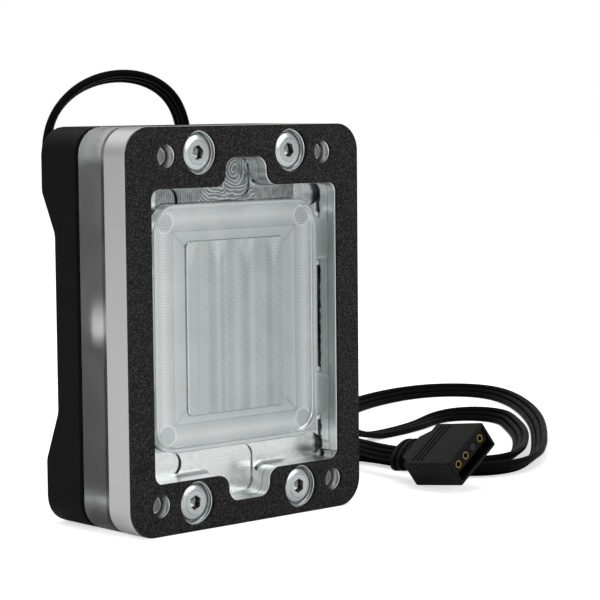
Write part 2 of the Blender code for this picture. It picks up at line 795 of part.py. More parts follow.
def make_screw(name, spot, face, towards, head, thread, finish_material):
    """A hex-socket screw. Its head's face is at Y = face and its thread runs along towards (+1 or -1)."""
    head_radius, head_height, socket, socket_depth = head
    thread_radius, thread_length = thread
    body = turned(
        name,
        (
            (0.0, 0.0),
            (head_radius - SCREW_CHAMFER, 0.0),
            (head_radius, -SCREW_CHAMFER),
            (head_radius, -head_height),
            (thread_radius, -head_height),
            (thread_radius, SCREW_CHAMFER - head_height - thread_length),
            (thread_radius - SCREW_CHAMFER, -head_height - thread_length),
            (0.0, -head_height - thread_length),
        ),
        parts,
    )
    key = hex_key(name + "_key", socket, socket_depth, 0.0, cutters)
    x, z = spot
    for obj in (body, key):
        turn = Euler((towards * math.pi / 2, 0.0, 0.0)).to_matrix().to_4x4()
        obj.matrix_world = Matrix.Translation((x, face, z)) @ turn @ obj.matrix_world
    cut(body, key)
    finish(body, finish_material)


def make_assembly_screws():
    steel = material("bright steel", (0.6, 0.6, 0.6), 0.25, 1.0)
    face = PLATE_FRONT + HEAD_SINK
    end = COVER_FRONT + ASSEMBLY_BITE
    length = end - face - ASSEMBLY_HEAD_HEIGHT
    head = (ASSEMBLY_HEAD, ASSEMBLY_HEAD_HEIGHT, ASSEMBLY_SOCKET, KEY_DEPTH)
    for i, spot in enumerate(ASSEMBLY_SPOTS, 1):
        make_screw(f"assembly_screw_{i}", spot, face, 1, head, (ASSEMBLY_THREAD, length), steel)


def make_mounting_screws():
    steel = material("zinc-plated steel", (0.5, 0.5, 0.5), 0.3, 1.0)
    face = COVER_BACK - HEAD_SINK
    end = PLATE_FRONT + MOUNTING_TIP_DEPTH
    length = face - MOUNTING_HEAD_HEIGHT - end
    head = (MOUNTING_HEAD, MOUNTING_HEAD_HEIGHT, MOUNTING_SOCKET, KEY_DEPTH)
    for i, spot in enumerate(MOUNTING_SPOTS, 1):
        make_screw(f"mounting_screw_{i}", spot, face, -1, head, (MOUNTING_THREAD, length), steel)


def make_light_strip():
    led_front = COVER_FRONT + FACE_GAP
    board_front = led_front + LED_HEIGHT + SOLDER
    half = BOARD_HEIGHT / 2
    outline = rectangle(BOARD_HALF, BOARD_Z - half, BOARD_Z + half, BOARD_CORNER, 3)
    board = slab("led_board", outline, board_front, board_front + BOARD_THICKNESS, parts)
    finish(board, material("white solder mask", (0.7, 0.7, 0.68), 0.5))
    led_material = material("cast epoxy", (0.8, 0.78, 0.7), 0.3)
    first = -LED_PITCH * (LED_COUNT - 1) / 2
    for i in range(LED_COUNT):
        bpy.ops.mesh.primitive_cube_add(size=1.0)
        led = bpy.context.object
        led.name = f"led_{i + 1}"
        led.data.transform(Matrix.Diagonal((LED_SIZE, LED_HEIGHT, LED_SIZE, 1.0)))
        led.location = (first + LED_PITCH * i, led_front + LED_HEIGHT / 2, BOARD_Z)
        place(led, parts)
        finish(led, led_material, smooth=False)


def make_grommet():
    inner = CABLE_RADIUS + FACE_GAP
    sleeve = inner + GROMMET_WALL
    flange_low = VALLEY_BACK + FACE_GAP
    start = COVER_FRONT + board_seat_depth() + FACE_GAP
    grommet = turned(
        "cable_grommet",
        (
            (sleeve, flange_low + GROMMET_LIP + SCREW_CHAMFER),
            (GROMMET_FLANGE - SCREW_CHAMFER, flange_low + GROMMET_LIP),
            (GROMMET_FLANGE, flange_low + GROMMET_LIP - SCREW_CHAMFER),
            (GROMMET_FLANGE, flange_low),
            (sleeve, flange_low),
            (sleeve, start),
            (inner, start),
            (inner, flange_low + GROMMET_LIP + SCREW_CHAMFER),
        ),
        parts,
        20,
    )
    grommet.location = (EXIT_X, 0.0, EXIT_Z)
    grommet.rotation_euler = (-math.pi / 2, 0.0, 0.0)
    finish(grommet, material("black rubber", (0.02, 0.02, 0.02), 0.6))


def cable_route():
    """The lead's route, chosen by hand, from the light strip to the socket: out of the cover, up in an
    arch over the block, down behind it and twice round on the table."""
    strip = COVER_FRONT + board_seat_depth() + FACE_GAP
    return [
        Vector(point)
        for point in (
            (EXIT_X, strip, EXIT_Z),
            (EXIT_X, 0.0098, EXIT_Z),
            (EXIT_X - 0.0002, 0.0149, EXIT_Z + 0.0014),
            (EXIT_X - 0.0008, 0.0186, EXIT_Z + 0.0052),
            (EXIT_X - 0.0021, 0.0201, EXIT_Z + 0.0102),
            (EXIT_X - 0.0037, 0.0203, EXIT_Z + 0.0148),
            (EXIT_X - 0.0043, 0.0203, EXIT_Z + 0.0198),
            (EXIT_X - 0.0023, 0.0203, BLOCK_HEIGHT + 0.0028),
            (-0.0113, 0.0203, BLOCK_HEIGHT + 0.0076),
            (-0.0024, 0.0204, BLOCK_HEIGHT + 0.0093),
            (0.0060, 0.0206, BLOCK_HEIGHT + 0.0076),
            (0.0116, 0.0212, BLOCK_HEIGHT + 0.0024),
            (0.0137, 0.0226, 0.0635),
            (0.0149, 0.0252, 0.0450),
            (0.0164, 0.0292, 0.0265),
            (0.0230, 0.0360, 0.0055),
            (0.0330, 0.0395, LAY_Z),
            (0.0440, 0.0378, LAY_Z),
            (0.0530, 0.0330, LAY_Z),
            (0.0593, 0.0240, LAY_Z),
            (0.0596, 0.0115, LAY_Z),
            (0.0587, -0.0012, LAY_Z),
            (0.0620, -0.0079, LAY_Z),
            (0.0676, -0.0109, LAY_Z),
            (0.0749, -0.0104, LAY_Z),
            (0.0876, -0.0028, LAY_Z),
            (0.0981, 0.0060, LAY_Z),
            (0.1089, 0.0157, LAY_Z),
            (0.1202, 0.0265, LAY_Z),
            (0.1317, 0.0391, LAY_Z),
            (0.1420, 0.0520, LAY_Z),
            (0.1493, 0.0638, LAY_Z),
            (0.1520, 0.0725, LAY_Z),
            (0.1491, 0.0803, LAY_Z),
            (0.1413, 0.0843, LAY_Z),
            (0.1315, 0.0840, LAY_Z),
            (0.1195, 0.0809, LAY_Z),
            (0.1060, 0.0746, LAY_Z),
            (0.0920, 0.0653, LAY_Z),
            (0.0790, 0.0540, LAY_Z),
            (0.0690, 0.0425, LAY_Z),
            (0.0645, 0.0300, LAY_Z),
            (0.0639, 0.0175, LAY_Z),
            (0.0638, 0.0057, LAY_Z),
            (0.0669, -0.0015, LAY_Z),
            (0.0721, -0.0046, LAY_Z),
            (0.0783, -0.0043, LAY_Z),
            (0.0913, 0.0066, LAY_Z),
            (0.1022, 0.0158, LAY_Z),
            (0.1115, 0.0265, LAY_Z),
            (0.1190, 0.0369, LAY_Z),
            (0.1195, 0.0436, LAY_Z),
            (0.1166, 0.0486, LAY_Z),
            (0.1113, 0.0512, LAY_Z),
            (0.1037, 0.0502, LAY_Z),
            (0.0955, 0.0472, LAY_Z),
            (0.0880, 0.0452, LAY_Z),
            (0.0805, 0.0428, LAY_Z),
            (0.0735, 0.0395, 0.0030),
            (0.0668, 0.0348, 0.0048),
            (0.0600, 0.0288, HUMP_Z),
            (0.0547, 0.0205, HUMP_Z),
            (0.0519, 0.0110, HUMP_Z),
            (0.0509, 0.0015, 0.0048),
            (0.0506, -0.0070, 0.0058),
        )
    ]


def smooth_points(route, spacing):
    """Points about one spacing apart on the smooth curve through the route's points."""
    spans = [b - a for a, b in zip(route, route[1:])]
    lengths = [span.length for span in spans]
    slopes = [span / length for span, length in zip(spans, lengths)]
    tangents = [slopes[0]]
    for i in range(1, len(spans)):
        before, after = lengths[i - 1], lengths[i]
        tangents.append((slopes[i - 1] * after + slopes[i] * before) / (before + after))
    tangents.append(slopes[-1])
    fine = []
    for i, length in enumerate(lengths):
        for step in range(ROUTE_STEPS):
            t = step / ROUTE_STEPS
            fine.append(
                route[i] * (2 * t**3 - 3 * t**2 + 1)
                + tangents[i] * (length * (t**3 - 2 * t**2 + t))
                + route[i + 1] * (3 * t**2 - 2 * t**3)
                + tangents[i + 1] * (length * (t**3 - t**2))
            )
    fine.append(route[-1])
    total = sum((b - a).length for a, b in zip(fine, fine[1:]))
    count = round(total / spacing)
    picked = [fine[0]]
    walked = 0.0
    for a, b in zip(fine, fine[1:]):
        walked += (b - a).length
        if walked >= total * len(picked) / count and len(picked) < count:
            picked.append(b)
    picked.append(fine[-1])
    return picked


def make_lighting_cable():
    curve = bpy.data.curves.new("lighting_cable", "CURVE")
    curve.dimensions = "3D"
    curve.bevel_depth = CABLE_RADIUS
    curve.bevel_resolution = 2
    curve.use_fill_caps = True
    points = smooth_points(cable_route(), ROUTE_SPACING)
    spline = curve.splines.new("POLY")
    spline.points.add(len(points) - 1)
    for point, spot in zip(spline.points, points):
        point.co = (*spot, 1.0)
    obj = bpy.data.objects.new("lighting_cable", curve)
    place(obj, parts)
    curve.materials.append(material("black PVC", (0.015, 0.015, 0.015), 0.35))


def block(name, size, middle, collection, parent):
    """A box of the given size, its middle given in the socket's own axes."""
    bpy.ops.mesh.primitive_cube_add(size=1.0)
    obj = bpy.context.object
    obj.name = name
    obj.data.transform(Matrix.Diagonal((*size, 1.0)))
    obj.data.transform(Matrix.Translation(middle))
    obj.parent = parent
    place(obj, collection)
    return obj


def along_socket(obj, x, y, z, parent):
    """Turns an object made along Z to lie along the socket's own Y, starting at the given point."""
    obj.parent = parent
    obj.location = (x, y, z)
    obj.rotation_euler = (-math.pi / 2, 0.0, 0.0)


def contact_spots():
    """The positions across the socket, as x in its own axes."""
    first = -CONTACT_PITCH * (CONTACT_POSITIONS - 1) / 2
    return [first + CONTACT_PITCH * i for i in range(CONTACT_POSITIONS)]


def insert_z():
    """The middle of the insert, which lies against the inside of the grooved face."""
    return SOCKET_DEPTH / 2 - SOCKET_WALL - INSERT_FIT - INSERT_HEIGHT / 2


def make_connector_housing(empty, plastic):
    housing = block(
        "connector_housing",
        (SOCKET_WIDTH, SOCKET_LENGTH, SOCKET_DEPTH),
        (0.0, SOCKET_LENGTH / 2, 0.0),
        parts,
        empty,
    )
    chamfer(housing, SOCKET_EDGE, 2)
    taper = block(
        "taper",
        (SOCKET_WIDTH - 2 * SOCKET_EDGE, SOCKET_TAPER + TAPER_ROOT, SOCKET_DEPTH - 2 * SOCKET_EDGE),
        (0.0, SOCKET_LENGTH + (SOCKET_TAPER - TAPER_ROOT) / 2, 0.0),
        cutters,
        empty,
    )
    shrink = (NECK_WIDTH / (SOCKET_WIDTH - 2 * SOCKET_EDGE), NECK_DEPTH / (SOCKET_DEPTH - 2 * SOCKET_EDGE))
    for corner in taper.data.vertices:
        if corner.co.y > SOCKET_LENGTH:
            corner.co.x *= shrink[0]
            corner.co.z *= shrink[1]
    combine(housing, taper, "UNION")
    cavity = block(
        "socket_cavity",
        (SOCKET_WIDTH - 2 * SOCKET_WALL, SOCKET_CAVITY + STEP, SOCKET_DEPTH - 2 * SOCKET_WALL),
        (0.0, (SOCKET_CAVITY - STEP) / 2, 0.0),
        cutters,
        empty,
    )
    cut(housing, cavity)
    for i in range(GROOVE_COUNT):
        groove = block(
            f"groove_{i}",
            (GROOVE_LENGTH, GROOVE_WIDTH, GROOVE_DEPTH * 2),
            (0.0, GROOVE_FIRST + GROOVE_PITCH * i, SOCKET_DEPTH / 2),
            cutters,
            empty,
        )
        cut(housing, groove)
    bore = CABLE_RADIUS + FACE_GAP
    drill = round_bar("cable_bore", 0.0, 0.0, bore, 0.0, SOCKET_LENGTH, cutters, 16)
    drill.parent = empty
    drill.location = (0.0, SOCKET_LENGTH + SOCKET_TAPER, 0.0)
    cut(housing, drill)
    finish(housing, plastic)


def make_socket_insert(empty):
    width = SOCKET_WIDTH - 2 * (SOCKET_WALL + INSERT_FIT)
    length = SOCKET_CAVITY - INSERT_RECESS - INSERT_FIT
    z = insert_z()
    insert = block(
        "socket_insert",
        (width, length, INSERT_HEIGHT),
        (0.0, INSERT_RECESS + length / 2, z),
        parts,
        empty,
    )
    for i, x in enumerate(contact_spots()):
        hole = round_bar(
            f"contact_hole_{i}",
            x,
            z,
            CONTACT_RADIUS + INSERT_FIT,
            INSERT_RECESS - STEP,
            INSERT_RECESS + CONTACT_LENGTH + INSERT_FIT,
            cutters,
            16,
        )
        hole.parent = empty
        cut(insert, hole)
    finish(insert, material("black nylon", (0.03, 0.03, 0.03), 0.45))


def make_contacts(empty):
    gold = material("gold-plated brass", (0.75, 0.5, 0.2), 0.3, 1.0)
    number = 0
    for i, x in enumerate(contact_spots()):
        if i == KEY_POSITION:
            key = round_bar(
                "key_plug",
                x,
                insert_z(),
                CONTACT_RADIUS,
                INSERT_RECESS,
                INSERT_RECESS + CONTACT_LENGTH,
                parts,
                16,
            )
            key.parent = empty
            finish(key, material("key nylon", (0.05, 0.05, 0.05), 0.5))
            continue
        number += 1
        contact = turned(
            f"contact_{number}",
            (
                (0.0, CONTACT_FLOOR),
                (CONTACT_BORE, CONTACT_FLOOR),
                (CONTACT_BORE, CONTACT_LENGTH),
                (CONTACT_RADIUS, CONTACT_LENGTH),
                (CONTACT_RADIUS, 0.0),
                (0.0, 0.0),
            ),
            parts,
            16,
        )
        contact.parent = empty
        contact.location = (x, INSERT_RECESS + CONTACT_LENGTH, insert_z())
        contact.rotation_euler = (math.pi / 2, 0.0, 0.0)
        finish(contact, gold)


def make_connector_boot(empty):
    start = SOCKET_LENGTH + SOCKET_TAPER + FACE_GAP
    end = start + BOOT_LENGTH
    inner = (CABLE_RADIUS + FACE_GAP) / BOOT_FLATTEN
    outer = inner + BOOT_WALL
    rib = outer + BOOT_RIB
    first = start + BOOT_RIB_START
    boot = turned(
        "connector_boot",
        (
            (inner, end),
            (rib, end),
            (rib, end - BOOT_RIB_LENGTH),
            (outer, end - BOOT_RIB_LENGTH),
            (outer, first + BOOT_RIB_LENGTH),
            (rib, first + BOOT_RIB_LENGTH),
            (rib, first),
            (outer, first),
            (outer, start),
            (inner, start),
        ),
        parts,
        24,
    )
    along_socket(boot, 0.0, 0.0, 0.0, empty)
    boot.scale = (BOOT_WIDEN, BOOT_FLATTEN, 1.0)
    finish(boot, material("soft black PVC", (0.015, 0.015, 0.015), 0.5))


def make_connector():
    empty = bpy.data.objects.new("socket_pose", None)
    empty.location = SOCKET_PLACE
    empty.rotation_euler = SOCKET_TURN
    place(empty, parts)
    plastic = material("black moulded nylon", (0.022, 0.021, 0.019), 0.5)
    make_connector_housing(empty, plastic)
    make_socket_insert(empty)
    make_contacts(empty)
    make_connector_boot(empty)


clear_scene()
parts = new_collection("cpu_water_block")
cutters = new_collection("cutters")
make_insulating_pad()
make_cold_plate()
make_manifold_body()
make_main_seal()
make_jet_plate()
make_top_cover()
make_assembly_screws()
make_mounting_screws()
make_light_strip()
make_grommet()
make_lighting_cable()
make_connector()
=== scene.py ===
import math

import bmesh
import bpy
from mathutils import Euler, Matrix, Vector


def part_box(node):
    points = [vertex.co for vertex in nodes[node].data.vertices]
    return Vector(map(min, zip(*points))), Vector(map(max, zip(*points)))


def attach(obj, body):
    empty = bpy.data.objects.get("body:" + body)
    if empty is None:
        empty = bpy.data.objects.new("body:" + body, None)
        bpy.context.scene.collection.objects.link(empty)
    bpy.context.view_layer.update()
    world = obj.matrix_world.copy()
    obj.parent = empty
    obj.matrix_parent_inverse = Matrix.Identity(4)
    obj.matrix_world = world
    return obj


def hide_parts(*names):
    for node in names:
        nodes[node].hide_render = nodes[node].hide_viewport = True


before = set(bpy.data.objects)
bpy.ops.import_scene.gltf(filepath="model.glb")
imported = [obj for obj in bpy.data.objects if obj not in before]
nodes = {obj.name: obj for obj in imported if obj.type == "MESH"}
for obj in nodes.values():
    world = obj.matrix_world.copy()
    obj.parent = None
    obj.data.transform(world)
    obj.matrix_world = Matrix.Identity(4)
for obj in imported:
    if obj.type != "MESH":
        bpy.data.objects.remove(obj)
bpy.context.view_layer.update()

scene = bpy.context.scene
scene.view_settings.view_transform = "Standard"

# Camera. It stands a little above the block's top, turned 42 degrees towards the cold plate, with a
# long lens, and its frame leans half a degree.
UP = Vector((0.0, 0.0, 1.0))
camera_yaw = math.radians(42.191)
camera_tilt = math.radians(5.067)
camera_lean = math.radians(-0.539)
level = Vector((math.cos(camera_yaw), -math.sin(camera_yaw), 0.0))
forward = math.cos(camera_tilt) * UP.cross(level) - math.sin(camera_tilt) * UP
upright = level.cross(forward)
right = math.cos(camera_lean) * level + math.sin(camera_lean) * upright
above = right.cross(forward)
camera_data = bpy.data.cameras.new("camera")
camera_data.lens = 134.4
camera_data.sensor_width = 36.0
camera_data.clip_start = 0.01
camera = bpy.data.objects.new("camera", camera_data)
turned_view = Matrix((right, above, -forward)).transposed().to_4x4()
camera.matrix_world = Matrix.Translation((-0.26006, -0.31295, 0.07509)) @ turned_view
scene.collection.objects.link(camera)
scene.camera = camera

# Lighting lead. Three wires of stranded copper in black PVC lie side by side and are moulded together.
# The lead leaves the cover, arches over the block, runs down behind it and goes twice round on the
# table, where it rests on one edge and leans, before it turns flat into its socket.
WIRE_RADIUS = 0.0007
WIRE_PITCH = 0.00138
WIRE_CORNERS = 10
LAY_Z = 0.0016
HUMP_Z = 0.0049
EXIT_X = -0.0155
EXIT_Z = 0.0485
EXIT_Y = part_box("cable_grommet")[0].y
arch_points = (
    (EXIT_X, EXIT_Y, EXIT_Z),
    (EXIT_X, 0.0098, EXIT_Z),
    (EXIT_X - 0.0002, 0.0149, EXIT_Z + 0.0014),
    (EXIT_X - 0.0008, 0.0186, EXIT_Z + 0.0052),
    (EXIT_X - 0.0021, 0.0201, EXIT_Z + 0.0102),
    (EXIT_X - 0.0037, 0.0203, EXIT_Z + 0.0148),
    (EXIT_X - 0.0043, 0.0203, EXIT_Z + 0.0198),
    (EXIT_X - 0.0023, 0.0203, 0.0738),
    (-0.0113, 0.0203, 0.0786),
    (-0.0024, 0.0204, 0.0803),
    (0.0065, 0.0206, 0.0786),
    (0.0124, 0.0212, 0.0734),
    (0.0147, 0.0226, 0.0635),
    (0.0157, 0.0252, 0.0450),
    (0.0168, 0.0292, 0.0265),
    (0.0230, 0.0360, 0.0055),
)
table_points = (
    (0.0330, 0.0395), (0.0440, 0.0378), (0.0530, 0.0330), (0.0593, 0.0240), (0.0596, 0.0115),
    (0.0587, -0.0012), (0.0620, -0.0079), (0.0676, -0.0109), (0.0749, -0.0104), (0.0876, -0.0028),
    (0.0981, 0.0060), (0.1089, 0.0157), (0.1202, 0.0265), (0.1317, 0.0391), (0.1420, 0.0520),
    (0.1493, 0.0638), (0.1520, 0.0725), (0.1491, 0.0803), (0.1413, 0.0843), (0.1315, 0.0840),
    (0.1195, 0.0809), (0.1060, 0.0746), (0.0920, 0.0653), (0.0790, 0.0540), (0.0690, 0.0425),
    (0.0645, 0.0300), (0.0639, 0.0175), (0.0638, 0.0057), (0.0669, -0.0015), (0.0721, -0.0046),
    (0.0793, -0.0030), (0.0907, 0.0050), (0.1052, 0.0179), (0.1160, 0.0309), (0.1203, 0.0364),
    (0.1223, 0.0419), (0.1208, 0.0470), (0.1166, 0.0501), (0.1111, 0.0502), (0.1035, 0.0470),
    (0.0945, 0.0442), (0.0845, 0.0424),
)
socket_points = (
    (0.0735, 0.0395, 0.0030),
    (0.0668, 0.0348, 0.0048),
    (0.0600, 0.0288, HUMP_Z),
    (0.0547, 0.0205, HUMP_Z),
    (0.0519, 0.0110, HUMP_Z),
    (0.0509, 0.0015, 0.0048),
    (0.0506, -0.0070, 0.0058),
)
route = [Vector(point) for point in arch_points]
route += [Vector((x, y, LAY_Z)) for x, y in table_points]
route += [Vector(point) for point in socket_points]
# The way from the middle wire to an outer one. It is given as a direction up to the table, and from
# there on as the angle in degrees that the row of wires leans from lying flat.
arch_sides = (
    (1.0, 0.0, 0.0), (1.0, 0.0, 0.0), (0.98, 0.10, 0.0), (0.95, 0.30, 0.0), (0.86, 0.51, 0.0),
    (0.82, 0.57, -0.05), (0.70, 0.70, -0.30), (0.35, 0.82, -0.45), (0.0, 0.87, -0.50),
    (-0.2, 0.90, -0.35), (-0.1, 0.96, -0.15), (0.12, 0.99, 0.0), (0.12, 0.99, 0.0), (0.12, 0.95, 0.10),
)
lean_angles = (20, 35, 40, 40, 40) + (38,) * 34 + (30, 16, 6, 4, 2, 0, -4, -10, -18, -26, -32, -34)
# A place along the lead is counted in points of the route. The wires are bundled in the grommet, up to
# BUNDLE_END, and on the table a row that leans less than FULL_LEAN, a sine, lies lower.
BUNDLE_RADIUS = 0.00082
BUNDLE_END = 2.4
FULL_LEAN = 0.64
FLAT_DROP = 0.0009
table_start = len(arch_points) - 1
table_end = len(route) - len(socket_points)


def smooth_route(points, steps):
    """Closely spaced points on the smooth curve through the given ones, each with its place as a number
    of points passed."""
    spans = [b - a for a, b in zip(points, points[1:])]
    lengths = [span.length for span in spans]
    slopes = [span / length for span, length in zip(spans, lengths)]
    tangents = [slopes[0]]
    for i in range(1, len(spans)):
        before, after = lengths[i - 1], lengths[i]
        tangents.append((slopes[i - 1] * after + slopes[i] * before).normalized())
    tangents.append(slopes[-1])
    made = []
    for i, length in enumerate(lengths):
        for step in range(steps):
            t = step / steps
            spot = (
                points[i] * (2 * t**3 - 3 * t**2 + 1)
                + tangents[i] * (length * (t**3 - 2 * t**2 + t))
                + points[i + 1] * (3 * t**2 - 2 * t**3)
                + tangents[i + 1] * (length * (t**3 - t**2))
            )
            made.append((spot, i + t))
    made.append((points[-1], len(points) - 1.0))
    return made


def between(values, place):
    """The value at a place between two numbered ones."""
    low = min(int(place), len(values) - 2)
    return values[low].lerp(values[low + 1], place - low)


def direction_at(points, i):
    return (points[min(i + 1, len(points) - 1)] - points[max(i - 1, 0)]).normalized()


lead_sides = []
for i in range(len(route)):
    if i < len(arch_sides):
        side = Vector(arch_sides[i])
    else:
        lean = math.radians(lean_angles[i - len(arch_sides)])
        flat = direction_at(route, i).cross(UP).normalized()
        side = -(math.cos(lean) * flat + math.sin(lean) * UP)
    lead_sides.append(side.normalized())


def evened(vectors, reach=6):
    """The vectors, each averaged with its neighbours, so that no kink is left where two spans meet."""
    made = []
    for i in range(len(vectors)):
        near = min(reach, i, len(vectors) - 1 - i)
        group = vectors[i - near : i + near + 1]
        made.append(sum(group, Vector((0.0, 0.0, 0.0))) / len(group))
    return made


def made_from(work, name):
    """The object that a finished bmesh becomes."""
    mesh = bpy.data.meshes.new(name)
    work.to_mesh(mesh)
    work.free()
    made = bpy.data.objects.new(name, mesh)
    scene.collection.objects.link(made)
    return made


lead_line = smooth_route(route, 10)
lead_spots = evened([spot for spot, place in lead_line])
lead_turns = evened([between(lead_sides, place) for spot, place in lead_line])
lead_work = bmesh.new()
lead_uv = lead_work.loops.layers.uv.new("along")
for wire in (-1, 0, 1):
    turn = math.radians(120 * wire)
    walked = 0.0
    rings = []
    for i, spot in enumerate(lead_spots):
        place = lead_line[i][1]
        if i:
            walked += (spot - lead_spots[i - 1]).length
        along = direction_at(lead_spots, i)
        side = (lead_turns[i] - along * lead_turns[i].dot(along)).normalized()
        face = along.cross(side)
        on_table = max(0.0, min(1.0, place - table_start, table_end - place))
        drop = max(0.0, 1.0 - abs(side.z) / FULL_LEAN) * FLAT_DROP * on_table
        bundled = max(0.0, min(1.0, BUNDLE_END - place))
        apart = side * (wire * WIRE_PITCH)
        together = (face * math.cos(turn) - side * math.sin(turn)) * BUNDLE_RADIUS
        middle = spot + apart.lerp(together, bundled) - UP * drop
        ring = []
        for corner in range(WIRE_CORNERS):
            angle = 2 * math.pi * corner / WIRE_CORNERS
            rim = (side * math.cos(angle) + face * math.sin(angle)) * WIRE_RADIUS
            ring.append(lead_work.verts.new(middle + rim))
        rings.append((walked, ring))
    for (start, low), (end, high) in zip(rings, rings[1:]):
        for corner in range(WIRE_CORNERS):
            after = (corner + 1) % WIRE_CORNERS
            made = lead_work.faces.new((low[corner], low[after], high[after], high[corner]))
            around = (corner / WIRE_CORNERS, (corner + 1) / WIRE_CORNERS)
            spots = ((around[0], start), (around[1], start), (around[1], end), (around[0], end))
            for loop, (u, v) in zip(made.loops, spots):
                loop[lead_uv].uv = (u, v * 100)
    lead_work.faces.new(rings[0][1][::-1])
    lead_work.faces.new(rings[-1][1])
bmesh.ops.recalc_face_normals(lead_work, faces=lead_work.faces)
lead = made_from(lead_work, "three_wire_lead")
lead.data.shade_smooth()
lead.data.set_sharp_from_angle(angle=math.radians(50))


def linear(colour):
    """A hex sRGB colour as the linear one that a shader takes."""
    parts = [int(colour[i : i + 2], 16) / 255 for i in (1, 3, 5)]
    return (*[c / 12.92 if c <= 0.04045 else ((c + 0.055) / 1.055) ** 2.4 for c in parts], 1.0)


def set_inputs(tree, node, inputs):
    """Gives each input its value or links it to another node's output socket."""
    for key, value in inputs.items():
        if isinstance(value, bpy.types.NodeSocket):
            tree.links.new(value, node.inputs[key])
        else:
            node.inputs[key].default_value = value


def add(tree, kind, inputs=None, **settings):
    node = tree.nodes.new(kind)
    for name, value in settings.items():
        setattr(node, name, value)
    set_inputs(tree, node, inputs or {})
    return node


def new_material(name):
    made = bpy.data.materials.new(name)
    made.use_nodes = True
    return made, made.node_tree, made.node_tree.nodes["Principled BSDF"]


def noise(tree, vector, scale, detail):
    """Noise, so many patterns to one unit of its vector."""
    return add(tree, "ShaderNodeTexNoise", {"Vector": vector, "Scale": scale, "Detail": detail}).outputs[0]


def map_range(tree, value, low, high, start=0.0, end=1.0):
    """A value between low and high turned into one between start and end."""
    inputs = {"Value": value, "From Min": low, "From Max": high, "To Min": start, "To Max": end}
    return add(tree, "ShaderNodeMapRange", inputs).outputs[0]


def mixed(tree, factor, first, second):
    """One colour turning into another, each a hex colour or a socket."""
    ends = [linear(end) if isinstance(end, str) else end for end in (first, second)]
    inputs = {"Factor": factor, 6: ends[0], 7: ends[1]}
    return add(tree, "ShaderNodeMix", inputs, data_type="RGBA").outputs[2]


def bumped(tree, height, strength, distance):
    """The normal of a surface that rises with a height, 1 of it being a distance in metres."""
    inputs = {"Height": height, "Strength": strength, "Distance": distance}
    return add(tree, "ShaderNodeBump", inputs).outputs[0]


def surface(tree, shader, tone, gloss, relief):
    """Gives a shader its tone (noise, dark, light), its roughness (noise, low, high) and its relief
    (height, strength, distance)."""
    rough = map_range(tree, gloss[0], 0.3, 0.7, *gloss[1:])
    finish = {"Base Color": mixed(tree, *tone), "Roughness": rough, "Normal": bumped(tree, *relief)}
    set_inputs(tree, shader, finish)


# Soft black PVC, extruded: satin, with faint lines along the wire every 0.2 mm and slow changes of
# gloss where it was handled.
lead_pvc, tree, shader = new_material("extruded black PVC")
place = add(tree, "ShaderNodeTexCoord")
lines = add(tree, "ShaderNodeMapping", {"Vector": place.outputs["UV"], "Scale": (22.0, 0.6, 1.0)})
draw = noise(tree, lines.outputs[0], 1.0, 2.0)
handled = noise(tree, place.outputs["Object"], 160.0, 3.0)
surface(tree, shader, (handled, "#090909", "#0f0f0f"), (handled, 0.34, 0.46), (draw, 0.25, 0.00006))
set_inputs(tree, shader, {"IOR": 1.53, "Specular IOR Level": 0.012})
lead.data.materials.append(lead_pvc)
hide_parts("lighting_cable")
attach(lead, "root")

# Table and light. A white sheet runs under the part. The part is lit by a white surround, a wide soft
# lamp on its left, one in front, one from above and one from behind.
floor_mesh = bpy.data.meshes.new("floor")
floor_mesh.from_pydata([(-6, -6, 0), (6, -6, 0), (6, 6, 0), (-6, 6, 0)], [], [(0, 1, 2, 3)])
floor = bpy.data.objects.new("floor", floor_mesh)
scene.collection.objects.link(floor)
floor_paper, tree, shader = new_material("white table sheet")
set_inputs(tree, shader, {"Base Color": linear("#f4f4f4"), "Roughness": 0.9})
ray = add(tree, "ShaderNodeLightPath")
seen = add(tree, "ShaderNodeMath", {0: ray.outputs["Is Camera Ray"], 1: 0.55}, operation="MULTIPLY")
glow = add(tree, "ShaderNodeEmission", {"Color": (1.0, 1.0, 1.0, 1.0), "Strength": seen.outputs[0]})
both = add(tree, "ShaderNodeAddShader", {0: shader.outputs[0], 1: glow.outputs[0]})
tree.links.new(both.outputs[0], tree.nodes["Material Output"].inputs["Surface"])
floor_mesh.materials.append(floor_paper)

world = bpy.data.worlds.new("white surround")
scene.world = world
world.use_nodes = True
tree = world.node_tree
ray = add(tree, "ShaderNodeLightPath")
strength = map_range(tree, ray.outputs["Is Camera Ray"], 0.0, 1.0, 0.50, 1.0)
set_inputs(tree, tree.nodes["Background"], {"Color": (1.0, 1.0, 1.0, 1.0), "Strength": strength})

for name, spot, aim, size, power in (
    ("left lamp", (-0.9, -0.1, 0.5), (0.0, 0.0, 0.03), 0.6, 3.0),
    ("front lamp", (0.35, -1.0, 0.5), (0.0, 0.0, 0.03), 0.7, 4.0),
    ("top lamp", (0.0, 0.1, 1.2), (0.0, 0.0, 0.0), 0.8, 4.0),
    ("back lamp", (-0.1, 0.9, 0.75), (0.0, 0.0, 0.05), 0.9, 1.6),
):
    light = bpy.data.lights.new(name, "AREA")
    light.size = size
    light.energy = power
    lamp = bpy.data.objects.new(name, light)
    lamp.location = spot
    lamp.rotation_euler = (Vector(aim) - Vector(spot)).to_track_quat("-Z", "Y").to_euler()
    scene.collection.objects.link(lamp)

